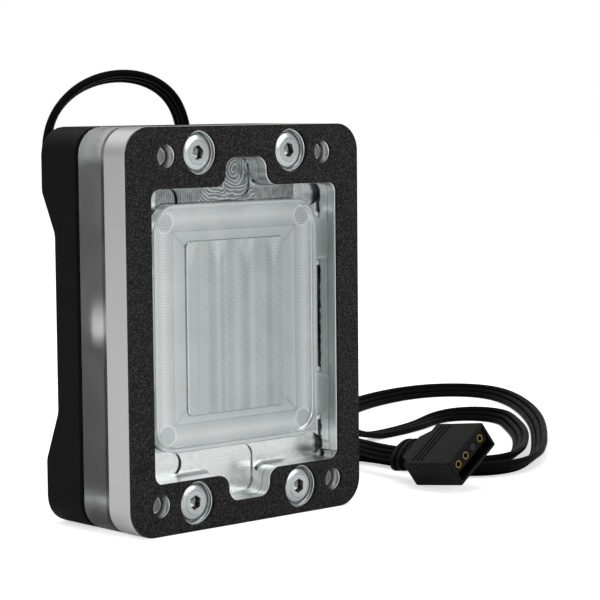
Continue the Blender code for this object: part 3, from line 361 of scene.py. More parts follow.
# Insulating pad. A thin black glass-filled film is glued to the plate's front and keeps it off the
# board's parts. It is die-cut round the pocket and the screws.
BLOCK_HALF = 0.027
BLOCK_HEIGHT = 0.071
BLOCK_CORNER = 0.005
PAD_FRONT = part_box("insulating_pad")[0].y
PAD_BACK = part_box("insulating_pad")[1].y
POCKET_HALF = 0.02175
POCKET_BOTTOM = 0.0091
POCKET_TOP = 0.0603
POCKET_CORNER = 0.0018
NOTCH_HALF = 0.0050
NOTCH_TOP = 0.0654
NOTCH_BOTTOM = 0.0042
NOTCH_FILLET = 0.0023
ASSEMBLY_SPOTS = ((-0.01062, 0.0664), (0.01062, 0.0664), (-0.01226, 0.0049), (0.01226, 0.0049))
MOUNTING_SPOTS = ((-0.01825, 0.0659), (0.01825, 0.0659), (-0.0203, 0.0053), (0.0203, 0.0053))
PAD_HOLE = 0.0039
MOUNTING_HOLE = 0.00205
CUT_OVER = 0.001


def rounded_outline(corners, segments=14):
    """The outline through corners (x, z, radius), each one turned into an arc of its radius."""
    outline = []
    for i, (x, z, radius) in enumerate(corners):
        here = Vector((x, z))
        before = (Vector(corners[i - 1][:2]) - here).normalized()
        after = (Vector(corners[(i + 1) % len(corners)][:2]) - here).normalized()
        half = before.angle(after) / 2
        middle = here + (before + after).normalized() * (radius / math.sin(half))
        arm = here + before * (radius / math.tan(half)) - middle
        sweep = (math.pi - 2 * half) * (1 if before.cross(after) < 0 else -1)
        for step in range(segments + 1):
            cos = math.cos(sweep * step / segments)
            sin = math.sin(sweep * step / segments)
            outline.append(middle + Vector((arm.x * cos - arm.y * sin, arm.x * sin + arm.y * cos)))
    return outline


def box_outline(left, bottom, right_edge, top, radius, segments=14):
    corners = ((left, bottom), (right_edge, bottom), (right_edge, top), (left, top))
    return rounded_outline([(x, z, radius) for x, z in corners], segments)


def block_outline(inset=0.0):
    return box_outline(
        inset - BLOCK_HALF, inset, BLOCK_HALF - inset, BLOCK_HEIGHT - inset, BLOCK_CORNER - inset
    )


def pocket_outline(inset=0.0):
    """The pocket with its two notches. The corners that point into it grow as it shrinks."""
    side, foot, head = POCKET_HALF - inset, POCKET_BOTTOM + inset, POCKET_TOP - inset
    notch, low, high = NOTCH_HALF - inset, NOTCH_BOTTOM + inset, NOTCH_TOP - inset
    outer = max(POCKET_CORNER - inset, 0.0003)
    inner, turned_in = NOTCH_FILLET - inset, NOTCH_FILLET + inset
    return rounded_outline(
        (
            (-side, foot, outer), (-notch, foot, turned_in), (-notch, low, inner),
            (notch, low, inner), (notch, foot, turned_in), (side, foot, outer),
            (side, head, outer), (notch, head, turned_in), (notch, high, inner),
            (-notch, high, inner), (-notch, head, turned_in), (-side, head, outer),
        )
    )


def circle_outline(x, z, radius, segments=40):
    turns = [2 * math.pi * i / segments for i in range(segments)]
    return [Vector((x + radius * math.cos(a), z + radius * math.sin(a))) for a in turns]


def loft(name, levels):
    """A closed solid through levels (y, outline), all with the same number of points."""
    work = bmesh.new()
    rings = [[work.verts.new((x, y, z)) for x, z in outline] for y, outline in levels]
    for low, high in zip(rings, rings[1:]):
        for i in range(len(low)):
            j = (i + 1) % len(low)
            work.faces.new((low[i], low[j], high[j], high[i]))
    work.faces.new(rings[0][::-1])
    work.faces.new(rings[-1])
    bmesh.ops.recalc_face_normals(work, faces=work.faces)
    return made_from(work, name)


def prism(name, outline, start, end):
    """A closed solid with one outline from one y to another."""
    return loft(name, ((start, outline), (end, outline)))


def settle_modifiers(piece):
    """Turns what a piece's modifiers make into its plain mesh."""
    bpy.context.view_layer.update()
    evaluated = piece.evaluated_get(bpy.context.evaluated_depsgraph_get())
    mesh = bpy.data.meshes.new_from_object(evaluated)
    piece.modifiers.clear()
    piece.data = mesh


def carve(piece, operation, *tools):
    """Cuts tools away from a piece, or joins them to it, and removes them."""
    for tool in tools:
        step = piece.modifiers.new(tool.name, "BOOLEAN")
        step.operation = operation
        step.solver = "EXACT"
        step.object = tool
    settle_modifiers(piece)
    for tool in tools:
        bpy.data.objects.remove(tool)


def smooth_rounded_edges(piece, angle=40):
    """Smooth shading that keeps large flat faces flat."""
    piece.data.shade_smooth()
    piece.data.set_sharp_from_angle(angle=math.radians(angle))
    weighted = piece.modifiers.new("weighted", "WEIGHTED_NORMAL")
    weighted.keep_sharp = True
    settle_modifiers(piece)


PAD_EDGE = 0.00008
pad = loft(
    "insulating_pad_film",
    (
        (PAD_FRONT, block_outline(PAD_EDGE)),
        (PAD_FRONT + PAD_EDGE, block_outline()),
        (PAD_BACK, block_outline()),
    ),
)
pad_cuts = [prism("window", pocket_outline(), PAD_FRONT - CUT_OVER, PAD_BACK + CUT_OVER)]
for spots, radius in ((ASSEMBLY_SPOTS, PAD_HOLE), (MOUNTING_SPOTS, MOUNTING_HOLE)):
    for x, z in spots:
        hole = circle_outline(x, z, radius)
        pad_cuts.append(prism("hole", hole, PAD_FRONT - CUT_OVER, PAD_BACK + CUT_OVER))
carve(pad, "DIFFERENCE", *pad_cuts)
smooth_rounded_edges(pad)

# Matt black film with a pressed grain of about 0.24 mm; some grains are painted lighter as glints.
film, tree, shader = new_material("grained black film")
place = add(tree, "ShaderNodeTexCoord").outputs["Object"]
grain = noise(tree, place, 4200.0, 1.0)
glint_specks = map_range(tree, grain, 0.46, 0.72)
clouds = noise(tree, place, 90.0, 2.0)
surface(tree, shader, (glint_specks, "#090909", "#3e3e3e"), (clouds, 0.52, 0.64), (grain, 0.55, 0.00008))
shader.inputs["Specular IOR Level"].default_value = 0.12
pad.data.materials.append(film)
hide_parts("insulating_pad")
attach(pad, "root")

# Cold plate. A copper plate is milled from the front and nickel plated: a pocket with two notches, a
# rim round a shallow recess, a raised contact pad in its middle, deeper recesses in the pocket's
# corners and sides, counterbores for the screw heads and through-holes.
PLATE_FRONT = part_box("cold_plate")[0].y
PLATE_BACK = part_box("cold_plate")[1].y
PLATE_EDGE = 0.00018
CHAMFER = 0.0001
MOAT_DEPTH = 0.0048
POCKET_FILLET = 0.0009
RIM_HALF = 0.0192
RIM_BOTTOM = 0.0137
RIM_TOP = 0.0574
RIM_WALL = 0.0008
RIM_CORNER = 0.0050
RIM_DEPTH = 0.0021
RIM_EDGE = 0.00012
RIM_FOOT_DEPTH = 0.0056
RECESS_DEPTH = 0.0029
RECESS_FILLET = 0.0002
CONTACT_HALF = 0.0115
CONTACT_BOTTOM = 0.0199
CONTACT_TOP = 0.0507
CONTACT_CORNER = 0.0010
CONTACT_DEPTH = 0.0025
CONTACT_EDGE = 0.00008
CONTACT_FOOT_DEPTH = 0.0045
FLOOR_RECESS_DEPTH = 0.0052
FLOOR_RECESS_RADIUS = 0.0022
FLOOR_RECESS_START = 0.0020
FLOOR_RECESS_GAP = 0.00005
WALL_BITE = 0.00018
CORNER_RECESS_REACH = 0.0060
WINDOW_LENGTH = 0.0101
WINDOW_UPPER = 0.0497
WINDOW_LOWER = 0.0208
NOTCH_RECESS_HALF = 0.0053
NOTCH_RECESS_UPPER = 0.0024
NOTCH_RECESS_LOWER = 0.0041
NOTCH_RECESS_START = 0.0030
NOTCH_RECESS_GAP = 0.0002
RELIEF_RADIUS = 0.0010
RELIEF_INSET = 0.0003
COUNTERBORE = 0.0036
COUNTERBORE_DEPTH = 0.0025
SHANK_HOLE = 0.0018
SHANK_START = 0.0020


def rim_outline(inset=0.0):
    return box_outline(
        inset - RIM_HALF, RIM_BOTTOM + inset, RIM_HALF - inset, RIM_TOP - inset, RIM_CORNER - inset
    )


def contact_outline(inset=0.0):
    return box_outline(
        inset - CONTACT_HALF,
        CONTACT_BOTTOM + inset,
        CONTACT_HALF - inset,
        CONTACT_TOP - inset,
        CONTACT_CORNER - inset,
        8,
    )


def slot_outline(x1, z1, x2, z2, radius, segments=14):
    """The path of a round cutter from one point to another."""
    along = Vector((x2 - x1, z2 - z1)).normalized()
    heading = math.atan2(along.y, along.x)
    outline = []
    for x, z, start in ((x2, z2, -math.pi / 2), (x1, z1, math.pi / 2)):
        for step in range(segments + 1):
            angle = heading + start + math.pi * step / segments
            outline.append(Vector((x + radius * math.cos(angle), z + radius * math.sin(angle))))
    return outline


def plate_depth(depth):
    return PLATE_FRONT + depth


plate = loft(
    "milled_cold_plate",
    (
        (PLATE_FRONT, block_outline(PLATE_EDGE)),
        (PLATE_FRONT + PLATE_EDGE, block_outline()),
        (PLATE_BACK - PLATE_EDGE, block_outline()),
        (PLATE_BACK, block_outline(PLATE_EDGE)),
    ),
)


def mouth_levels(outline, top=0.0, inset=0.0):
    """Levels (y, outline) that open a cut at a depth with a small chamfer."""
    wide = outline(inset - CHAMFER)
    depths = ((top - CUT_OVER, wide), (top, wide), (top + CHAMFER, outline(inset)))
    return [(plate_depth(low), shape) for low, shape in depths]


def foot_levels(outline, bottom, fillet, steps, inset=0.0):
    """Levels (y, outline) round the fillet at the foot of a cut."""
    levels = []
    for step in range(steps + 1):
        angle = math.pi / 2 * step / steps
        low = bottom - fillet * (1 - math.sin(angle))
        levels.append((plate_depth(low), outline(inset + fillet * (1 - math.cos(angle)))))
    return levels


def boss(name, outline, top, edge, bottom):
    """A raised form with a small chamfer round its top."""
    return loft(
        name,
        (
            (plate_depth(top), outline(edge)),
            (plate_depth(top + edge), outline()),
            (plate_depth(bottom), outline()),
        ),
    )


pocket_levels = mouth_levels(pocket_outline) + foot_levels(pocket_outline, MOAT_DEPTH, POCKET_FILLET, 6)
carve(plate, "DIFFERENCE", loft("pocket", pocket_levels))

recess_cuts = []
recess_ends = []
wall_x = POCKET_HALF - FLOOR_RECESS_RADIUS + WALL_BITE
for side in (-1, 1):
    for edge, inward in ((POCKET_TOP, -1), (POCKET_BOTTOM, 1)):
        z = edge + inward * (FLOOR_RECESS_RADIUS + FLOOR_RECESS_GAP)
        recess_ends.append((side * wall_x, z, side * (wall_x - CORNER_RECESS_REACH), z))
    for middle in (WINDOW_UPPER, WINDOW_LOWER):
        half = WINDOW_LENGTH / 2 - FLOOR_RECESS_RADIUS
        recess_ends.append((side * wall_x, middle - half, side * wall_x, middle + half))
recess_floor = plate_depth(FLOOR_RECESS_DEPTH)
for ends in recess_ends:
    outline = slot_outline(*ends, FLOOR_RECESS_RADIUS)
    recess_cuts.append(prism("floor_recess", outline, plate_depth(FLOOR_RECESS_START), recess_floor))
for low, high in (
    (POCKET_TOP - NOTCH_RECESS_UPPER, NOTCH_TOP - NOTCH_RECESS_GAP),
    (NOTCH_BOTTOM + NOTCH_RECESS_GAP, POCKET_BOTTOM + NOTCH_RECESS_LOWER),
):
    outline = box_outline(-NOTCH_RECESS_HALF, low, NOTCH_RECESS_HALF, high, NOTCH_FILLET)
    recess_cuts.append(prism("notch_recess", outline, plate_depth(NOTCH_RECESS_START), recess_floor))
for side in (-1, 1):
    relief_x, relief_z = side * (POCKET_HALF - RELIEF_INSET), POCKET_BOTTOM + RELIEF_INSET
    outline = circle_outline(relief_x, relief_z, RELIEF_RADIUS, 24)
    recess_cuts.append(
        prism("corner_relief", outline, plate_depth(-CUT_OVER), plate_depth(MOAT_DEPTH - 0.0001))
    )
carve(plate, "DIFFERENCE", *recess_cuts)
carve(plate, "UNION", boss("rim", rim_outline, RIM_DEPTH, RIM_EDGE, RIM_FOOT_DEPTH))
recess_levels = mouth_levels(rim_outline, RIM_DEPTH, RIM_WALL)
recess_levels += foot_levels(rim_outline, RECESS_DEPTH, RECESS_FILLET, 4, RIM_WALL)
carve(plate, "DIFFERENCE", loft("recess", recess_levels))
carve(plate, "UNION", boss("contact", contact_outline, CONTACT_DEPTH, CONTACT_EDGE, CONTACT_FOOT_DEPTH))
hole_cuts = []
for spots, radius, bottom in (
    (ASSEMBLY_SPOTS, COUNTERBORE, plate_depth(COUNTERBORE_DEPTH)),
    (MOUNTING_SPOTS, MOUNTING_HOLE, PLATE_BACK + CUT_OVER),
):
    for x, z in spots:
        levels = mouth_levels(lambda inset: circle_outline(x, z, radius - inset))
        levels.append((bottom, circle_outline(x, z, radius)))
        hole_cuts.append(loft("hole", levels))
for x, z in ASSEMBLY_SPOTS:
    shank = circle_outline(x, z, SHANK_HOLE)
    hole_cuts.append(prism("shank", shank, plate_depth(SHANK_START), PLATE_BACK + CUT_OVER))
carve(plate, "DIFFERENCE", *hole_cuts)
smooth_rounded_edges(plate)

# Nickel on milled copper. The cutter leaves arcs along each pass: round the recess, in the moat and in
# bands on the contact pad, with rings where it dwelt in a corner, loops in the notches and level lines
# on the walls. Its marks are 0.50 to 0.62 mm apart. A tone of 0 is dark metal and 1 is the brightest.
nickel, nickel_tree, shader = new_material("nickel-plated milled copper")
place = add(nickel_tree, "ShaderNodeTexCoord")
spot = add(nickel_tree, "ShaderNodeSeparateXYZ", {0: place.outputs["Object"]})
facing = add(nickel_tree, "ShaderNodeSeparateXYZ", {0: place.outputs["Normal"]})
x, y, z = spot.outputs[0], spot.outputs[1], spot.outputs[2]


def maths(operation, first, second=0.0):
    return add(nickel_tree, "ShaderNodeMath", {0: first, 1: second}, operation=operation).outputs[0]


def times(first, second):
    return maths("MULTIPLY", first, second)


def minus(first, second):
    return maths("SUBTRACT", first, second)


def spread(value, low, high, start=0.0, end=1.0):
    return map_range(nickel_tree, value, low, high, start, end)


def mottle(scale, detail, low=0.3, high=0.7, reach=1.0):
    """Noise between less than nothing and more, as far as its reach."""
    return spread(noise(nickel_tree, place.outputs["Object"], scale, detail), low, high, -reach, reach)


def blend(factor, first, second):
    return add(nickel_tree, "ShaderNodeMix", {"Factor": factor, 2: first, 3: second}).outputs[0]


def plus(value, amount, share):
    """A value with a share of an amount on top."""
    return maths("ADD", value, times(amount, share))


def waves(value, pitch):
    return maths("SINE", times(value, 2 * math.pi / pitch))


def diagonal(across, along):
    return maths("SQRT", maths("ADD", times(across, across), times(along, along)))


def distance_from(spot_x, spot_z):
    return diagonal(minus(x, spot_x), minus(z, spot_z))


def distance_outside(half, bottom, top, radius):
    """How far a point is outside a rounded rectangle, and less than nothing inside it."""
    across = minus(maths("ABSOLUTE", x), half - radius)
    along = maths("ABSOLUTE", minus(z, (bottom + top) / 2))
    along = minus(along, (top - bottom) / 2 - radius)
    inner = maths("MINIMUM", maths("MAXIMUM", across, along), 0.0)
    corner = diagonal(maths("MAXIMUM", across, 0.0), maths("MAXIMUM", along, 0.0))
    return minus(maths("ADD", corner, inner), radius)


def line_at(distance, middle, width):
    """1 on a line at a distance, falling to 0 a width away on both sides."""
    return spread(maths("ABSOLUTE", minus(distance, middle)), 0.0, width, 1.0, 0.0)


def cutter_arcs(across, along, radius, feed):
    """Arcs that a round cutter leaves: a height that rises and falls once each feed."""
    square = minus(radius**2, times(across, across))
    return waves(maths("ADD", along, maths("SQRT", maths("MAXIMUM", square, 0.0))), feed)


PASS_WIDTH = 0.0040
PASS_TURN = 0.0030
HIGHLIGHT_MIDDLE = 0.0018
RECESS_FEED = 0.00055
RING_INSET = 0.00235
RING_RADIUS = 0.0018
from_middle = maths("ABSOLUTE", x)
depth = minus(y, PLATE_FRONT)
floorness = spread(times(facing.outputs[1], -1.0), 0.80, 0.97)
inner_half = RIM_HALF - RIM_WALL
inner_bottom = RIM_BOTTOM + RIM_WALL
inner_top = RIM_TOP - RIM_WALL
inwards = times(distance_outside(inner_half, inner_bottom, inner_top, PASS_TURN), -1.0)
from_side = minus(inner_half, from_middle)
middle_z = (RIM_BOTTOM + RIM_TOP) / 2
from_end = maths("ABSOLUTE", minus(z, middle_z))
from_end = minus(inner_top - middle_z, from_end)
travel = blend(maths("LESS_THAN", from_side, from_end), x, z)
cloud = mottle(130.0, 3.0)

# The pass round the recess: arcs, a painted highlight along its middle and an edge towards the next pass.
across_pass = minus(inwards, PASS_WIDTH / 2)
in_first_pass = spread(inwards, PASS_WIDTH + 0.0001, PASS_WIDTH - 0.0001)
recess_arcs = cutter_arcs(across_pass, travel, PASS_WIDTH / 2 + 0.0001, RECESS_FEED)
recess_arcs = times(recess_arcs, spread(cloud, -0.8, 0.6, 0.25, 1.0))
recess_arcs = times(recess_arcs, in_first_pass)
recess_tone = plus(plus(0.57, line_at(inwards, HIGHLIGHT_MIDDLE, 0.0016), 0.15), recess_arcs, 0.04)
inner_tone = plus(0.62, spread(inwards, PASS_WIDTH, PASS_WIDTH + 0.0016), -0.06)
recess_tone = blend(in_first_pass, inner_tone, recess_tone)
recess_tone = plus(recess_tone, line_at(inwards, PASS_WIDTH, 0.00022), -0.12)
mitre = line_at(minus(from_side, from_end), 0.0, 0.0005)
mitre = times(mitre, maths("GREATER_THAN", inwards, PASS_WIDTH))
recess_tone = plus(recess_tone, mitre, -0.10)
for side in (-1, 1):
    for end_z in (inner_top - RING_INSET, inner_bottom + RING_INSET):
        away = distance_from(side * (inner_half - RING_INSET), end_z)
        recess_tone = blend(spread(away, RING_RADIUS + 0.0001, RING_RADIUS - 0.0001), recess_tone, 0.56)
        recess_tone = plus(recess_tone, line_at(away, RING_RADIUS, 0.00028), 0.20)

# The contact pad: soft upright bands, brighter where the cutter came in at the top.
BAND_WIDTH = 0.0033
ENTRY_LENGTH = 0.0060
PAD_FEED = 0.00060
PAD_CUTTER_RADIUS = 0.0042
SLANT_PITCH = 0.0013
in_bands = maths("DIVIDE", maths("ADD", x, 0.1), BAND_WIDTH)
band_tone = add(
    nickel_tree,
    "ShaderNodeTexNoise",
    {"W": times(in_bands, 1.7), "Scale": 1.0, "Detail": 1.0},
    noise_dimensions="1D",
)
bands = spread(band_tone.outputs[0], 0.3, 0.7, -1.0, 1.0)
from_top = spread(z, CONTACT_TOP, CONTACT_TOP - ENTRY_LENGTH, 0.0, 0.7)
entry = spread(minus(maths("PINGPONG", in_bands, 1.0), from_top), 0.30, 0.60)
across_band = times(minus(maths("FRACT", in_bands), 0.5), BAND_WIDTH)
pad_arcs = cutter_arcs(across_band, z, PAD_CUTTER_RADIUS, PAD_FEED)
slant = waves(plus(z, x, 0.75), SLANT_PITCH)
pad_tone = plus(plus(0.53, bands, 0.055), entry, 0.11)
pad_tone = plus(plus(pad_tone, pad_arcs, 0.006), slant, 0.012)

# The moat: strong arcs along the top, fainter ones elsewhere. Its floor is painted darker along the top as
# shade under the top wall, and painted lighter below the rim as light.
MOAT_MIDDLE = 0.0016
MOAT_CUTTER_RADIUS = 0.0022
MOAT_FEED = 0.00050
from_wall = distance_outside(POCKET_HALF, POCKET_BOTTOM, POCKET_TOP, POCKET_CORNER)
from_wall = times(from_wall, -1.0)
rough_cut = mottle(900.0, 3.0, 0.35, 0.65)
above_rim = maths("GREATER_THAN", z, RIM_TOP - 0.0020)
painted_light_below_rim = maths("LESS_THAN", z, RIM_BOTTOM)
painted_shade_at_top = times(above_rim, maths("LESS_THAN", from_middle, POCKET_HALF - 0.0055))
across_moat = minus(from_wall, MOAT_MIDDLE)
moat_arcs = cutter_arcs(across_moat, travel, MOAT_CUTTER_RADIUS, MOAT_FEED)
moat_arcs = times(moat_arcs, blend(above_rim, 0.25, 1.0))
moat_tone = blend(painted_shade_at_top, blend(painted_light_below_rim, 0.62, 0.88), 0.27)
moat_tone = plus(plus(moat_tone, moat_arcs, 0.07), rough_cut, 0.06)
dwelt = distance_from(POCKET_HALF - 0.0042, POCKET_TOP - 0.0014)
moat_tone = plus(moat_tone, line_at(dwelt, 0.0012, 0.00014), 0.3)

# The notches: two lobes of the cutter's loops side by side, like fish scales.
LOBE_X = 0.0021
LOOP_PITCH = 0.00062
LOOP_WANDER = 0.00035
wander = mottle(420.0, 1.0, reach=LOOP_WANDER)
lobe_z = blend(maths("GREATER_THAN", z, middle_z), NOTCH_BOTTOM + 0.0030, NOTCH_TOP - 0.0024)
across = minus(maths("ABSOLUTE", maths("ADD", x, wander)), LOBE_X)
lobe = diagonal(across, minus(z, lobe_z))
loops = spread(waves(maths("ADD", lobe, wander), LOOP_PITCH), -0.2, 1.0)
loops = plus(loops, rough_cut, 0.15)
notch_reach = plus(NOTCH_RECESS_HALF + 0.0001, maths("MAXIMUM", from_wall, 0.0), 0.6)
in_notch = maths("LESS_THAN", from_middle, notch_reach)
upper_notch = times(in_notch, maths("GREATER_THAN", z, RIM_TOP + 0.0001))
lower_notch = times(in_notch, maths("LESS_THAN", z, RIM_BOTTOM - 0.0001))
# The upper notch's floor is painted dark as shade, and the lower one's is painted light.
moat_tone = blend(upper_notch, moat_tone, plus(0.22, loops, 0.36))
moat_tone = blend(lower_notch, moat_tone, plus(0.82, loops, 0.10))

# The rim, plain and bright, with painted shade as a dark line at the foot of each of its walls and round
# the pad. A painted light gradient makes the recess and pad darker from left to right.
FOOT_SHADE_LINE = 0.00006
from_pad = distance_outside(CONTACT_HALF, CONTACT_BOTTOM, CONTACT_TOP, CONTACT_CORNER)
on_pad = maths("LESS_THAN", from_pad, 0.0)
on_moat = spread(depth, 0.0040, 0.0044)
floor_tone = blend(on_pad, blend(maths("LESS_THAN", inwards, 0.0), recess_tone, 0.66), pad_tone)
# Painted light: the recess and pad darken from left to right.
floor_tone = maths("ADD", floor_tone, spread(x, -0.019, 0.011, 0.03, -0.09))
floor_tone = plus(floor_tone, line_at(from_pad, FOOT_SHADE_LINE, 0.00014), -0.36)
floor_tone = plus(floor_tone, line_at(inwards, 0.0, 0.00016), -0.25)
floor_tone = blend(on_moat, floor_tone, moat_tone)
from_rim = distance_outside(RIM_HALF, RIM_BOTTOM, RIM_TOP, RIM_CORNER)
rim_foot_shade = times(line_at(from_rim, FOOT_SHADE_LINE, 0.00016), on_moat)
floor_tone = plus(floor_tone, rim_foot_shade, -0.25)

# The walls: level lines from the cutter's side, a painted highlight along the small ledge where two passes
# meet, a dark line 0.5 mm nearer the front, and painted shade as a dark jagged foot on the wall that faces
# left, apart from the recesses in it. Their tone is set lighter than the floors', as painted light.
LEDGE_HIGHLIGHT_DEPTH = 0.0025
DARK_DEPTH = 0.0020
level_scale = {"Vector": place.outputs["Object"], "Scale": (60.0, 5200.0, 60.0)}
level_place = add(nickel_tree, "ShaderNodeMapping", level_scale)
level_lines = spread(noise(nickel_tree, level_place.outputs[0], 1.0, 3.0), 0.32, 0.68, -1.0, 1.0)
ragged_shade_depth = plus(plus(depth, rough_cut, 0.00014), in_notch, -0.0009)
painted_foot_shade = times(spread(ragged_shade_depth, 0.00395, 0.00415), spread(facing.outputs[0], -0.3, -0.6))
for window in (WINDOW_UPPER, WINDOW_LOWER):
    beside = maths("ABSOLUTE", minus(z, window))
    outside_it = spread(beside, WINDOW_LENGTH / 2 - 0.0003, WINDOW_LENGTH / 2)
    painted_foot_shade = times(painted_foot_shade, outside_it)
wall_tone = plus(0.92, level_lines, 0.10)
wall_tone = plus(wall_tone, line_at(depth, LEDGE_HIGHLIGHT_DEPTH, 0.00022), 0.40)
wall_tone = plus(wall_tone, line_at(depth, DARK_DEPTH, 0.00030), -0.40)
wall_tone = plus(wall_tone, painted_foot_shade, blend(in_notch, -0.9, -0.7))
tone = plus(blend(floorness, wall_tone, floor_tone), cloud, 0.03)
outer = distance_outside(BLOCK_HALF, 0.0, BLOCK_HEIGHT, BLOCK_CORNER)
outer = maths("GREATER_THAN", outer, -0.0006)
shade = add(nickel_tree, "ShaderNodeValToRGB", {"Fac": tone})
shade.color_ramp.elements[0].color = linear("#111414")
shade.color_ramp.elements[1].color = linear("#f2f5f4")
middle_shade = shade.color_ramp.elements.new(0.5)
middle_shade.color = linear("#b4baba")
nickel_colour = mixed(nickel_tree, outer, shade.outputs[0], "#c4c4c4")
height = blend(on_pad, recess_arcs, times(pad_arcs, 0.2))
height = blend(on_moat, height, blend(maths("MAXIMUM", upper_notch, lower_notch), moat_arcs, loops))
height = blend(floorness, times(level_lines, 0.5), height)
height = blend(outer, height, 0.0)
relief = bumped(nickel_tree, height, 0.5, 0.000012)
rough = blend(outer, blend(floorness, 0.28, plus(0.27, cloud, 0.03)), 0.36)
finish = {"Base Color": nickel_colour, "Metallic": 1.0, "Roughness": rough, "Normal": relief}
set_inputs(nickel_tree, shader, finish)
plate.data.materials.append(nickel)
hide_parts("cold_plate")
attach(plate, "root")


def grained(name, dark, light, grain, rough, strength, metallic=0.0, specular=0.5):
    """A material with a fine even grain, its size in metres, and slow changes of tone and gloss."""
    made, tree, shader = new_material(name)
    place = add(tree, "ShaderNodeTexCoord").outputs["Object"]
    slow = noise(tree, place, 140.0, 3.0)
    fine = noise(tree, place, 1 / grain, 2.0)
    surface(tree, shader, (slow, dark, light), (slow, *rough), (fine, strength, 0.00003))
    set_inputs(tree, shader, {"Metallic": metallic, "Specular IOR Level": specular})
    return made


def dress(node, finish):
    """Gives a CAD node that stays its material."""
    nodes[node].data.materials.clear()
    nodes[node].data.materials.append(finish)


# Main seal. A moulded nitrile ring lies in the body's groove round the coolant and is pressed flat by
# the cold plate.
nitrile = grained("moulded black nitrile", "#151515", "#202020", 0.00020, (0.55, 0.68), 0.3)
dress("main_seal", nitrile)

# Jet plate. A stamped sheet of rolled stainless steel lies over the fins, and its slot lets the coolant
# into the middle of them.
rolled = grained("rolled stainless steel", "#9c9c9a", "#b4b4b1", 0.00015, (0.24, 0.36), 0.15, 1.0)
dress("jet_plate", rolled)


def merged(node, name, width, segments=2):
    """A copy of a CAD node with its loose triangles joined up and its edges rounded."""
    work = bmesh.new()
    work.from_mesh(nodes[node].data)
    work.transform(nodes[node].matrix_world)
    bmesh.ops.remove_doubles(work, verts=work.verts, dist=0.000004)
    bmesh.ops.dissolve_limit(work, angle_limit=math.radians(0.6), verts=work.verts, edges=work.edges)
    made = made_from(work, name)
    if width:
        edges = made.modifiers.new("edges", "BEVEL")
        edges.width = width
        edges.segments = segments
        edges.limit_method = "ANGLE"
        edges.angle_limit = math.radians(32)
        edges.use_clamp_overlap = True
    smooth_rounded_edges(made)
    return made


# Manifold body. Clear cast acrylic, smoky with age: the coolant channels, the seal's groove and the two
# port bosses are milled into it, and its outside is polished.
body = merged("manifold_body", "acrylic_manifold", 0.0)
acrylic, tree, shader = new_material("smoky clear acrylic")
place = add(tree, "ShaderNodeTexCoord").outputs["Object"]
sawn = add(tree, "ShaderNodeMapping", {"Vector": place, "Scale": (3000.0, 3000.0, 300.0)})
haze = noise(tree, sawn.outputs[0], 1.0, 2.0)
clear = {"Base Color": linear("#f4f4f3"), "Transmission Weight": 1.0, "IOR": 1.49}
set_inputs(tree, shader, {**clear, "Roughness": map_range(tree, haze, 0.3, 0.7, 0.34, 0.42)})
set_inputs(tree, shader, {"Normal": bumped(tree, haze, 0.05, 0.00002)})
body.data.materials.append(acrylic)
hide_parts("manifold_body")
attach(body, "root")

# Top cover. It is milled from aluminium, bead blasted and anodised black, with two thick ends and a
# valley between them through which the port bosses stand.
cover = merged("top_cover", "anodised_cover", 0.00025, 3)
cover.data.materials.append(
    grained("black anodised aluminium", "#0a0a0a", "#0d0d0d", 0.00022, (0.44, 0.54), 0.2, specular=0.04)
)
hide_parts("top_cover")
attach(cover, "root")

# Light strip. A white board is held in the cover, with six small lamps that shine into the acrylic.
dress("led_board", grained("white solder mask", "#d6d6d0", "#e4e4de", 0.00020, (0.35, 0.45), 0.15))
lens = grained("milky LED epoxy", "#d9d3bb", "#e8e3d0", 0.00015, (0.12, 0.20), 0.05)
for number in range(1, 7):
    dress(f"led_{number}", lens)

# Grommet. A rubber bush with a lip keeps the lead from chafing where it leaves the cover.
dress("cable_grommet", nitrile)

# Screws. Four short ones clamp plate, body and cover from the front. Four long captive ones hold the
# block to its board, and only their tips show in the plate's corner holes. One tree sets each kind.
HEX_POINTS = 6
TURN_POINTS = 48
THREAD_POINTS = 24
THREAD_STEPS = 6
SEATING = 0.0004
KEY_START = 0.0004
KEY_FLARE = 0.0005
KEY_LIP = 0.0003


def ring_points(radius, y, points):
    turns = [2 * math.pi * i / points for i in range(points)]
    return [(radius * math.cos(a), y, radius * math.sin(a)) for a in turns]


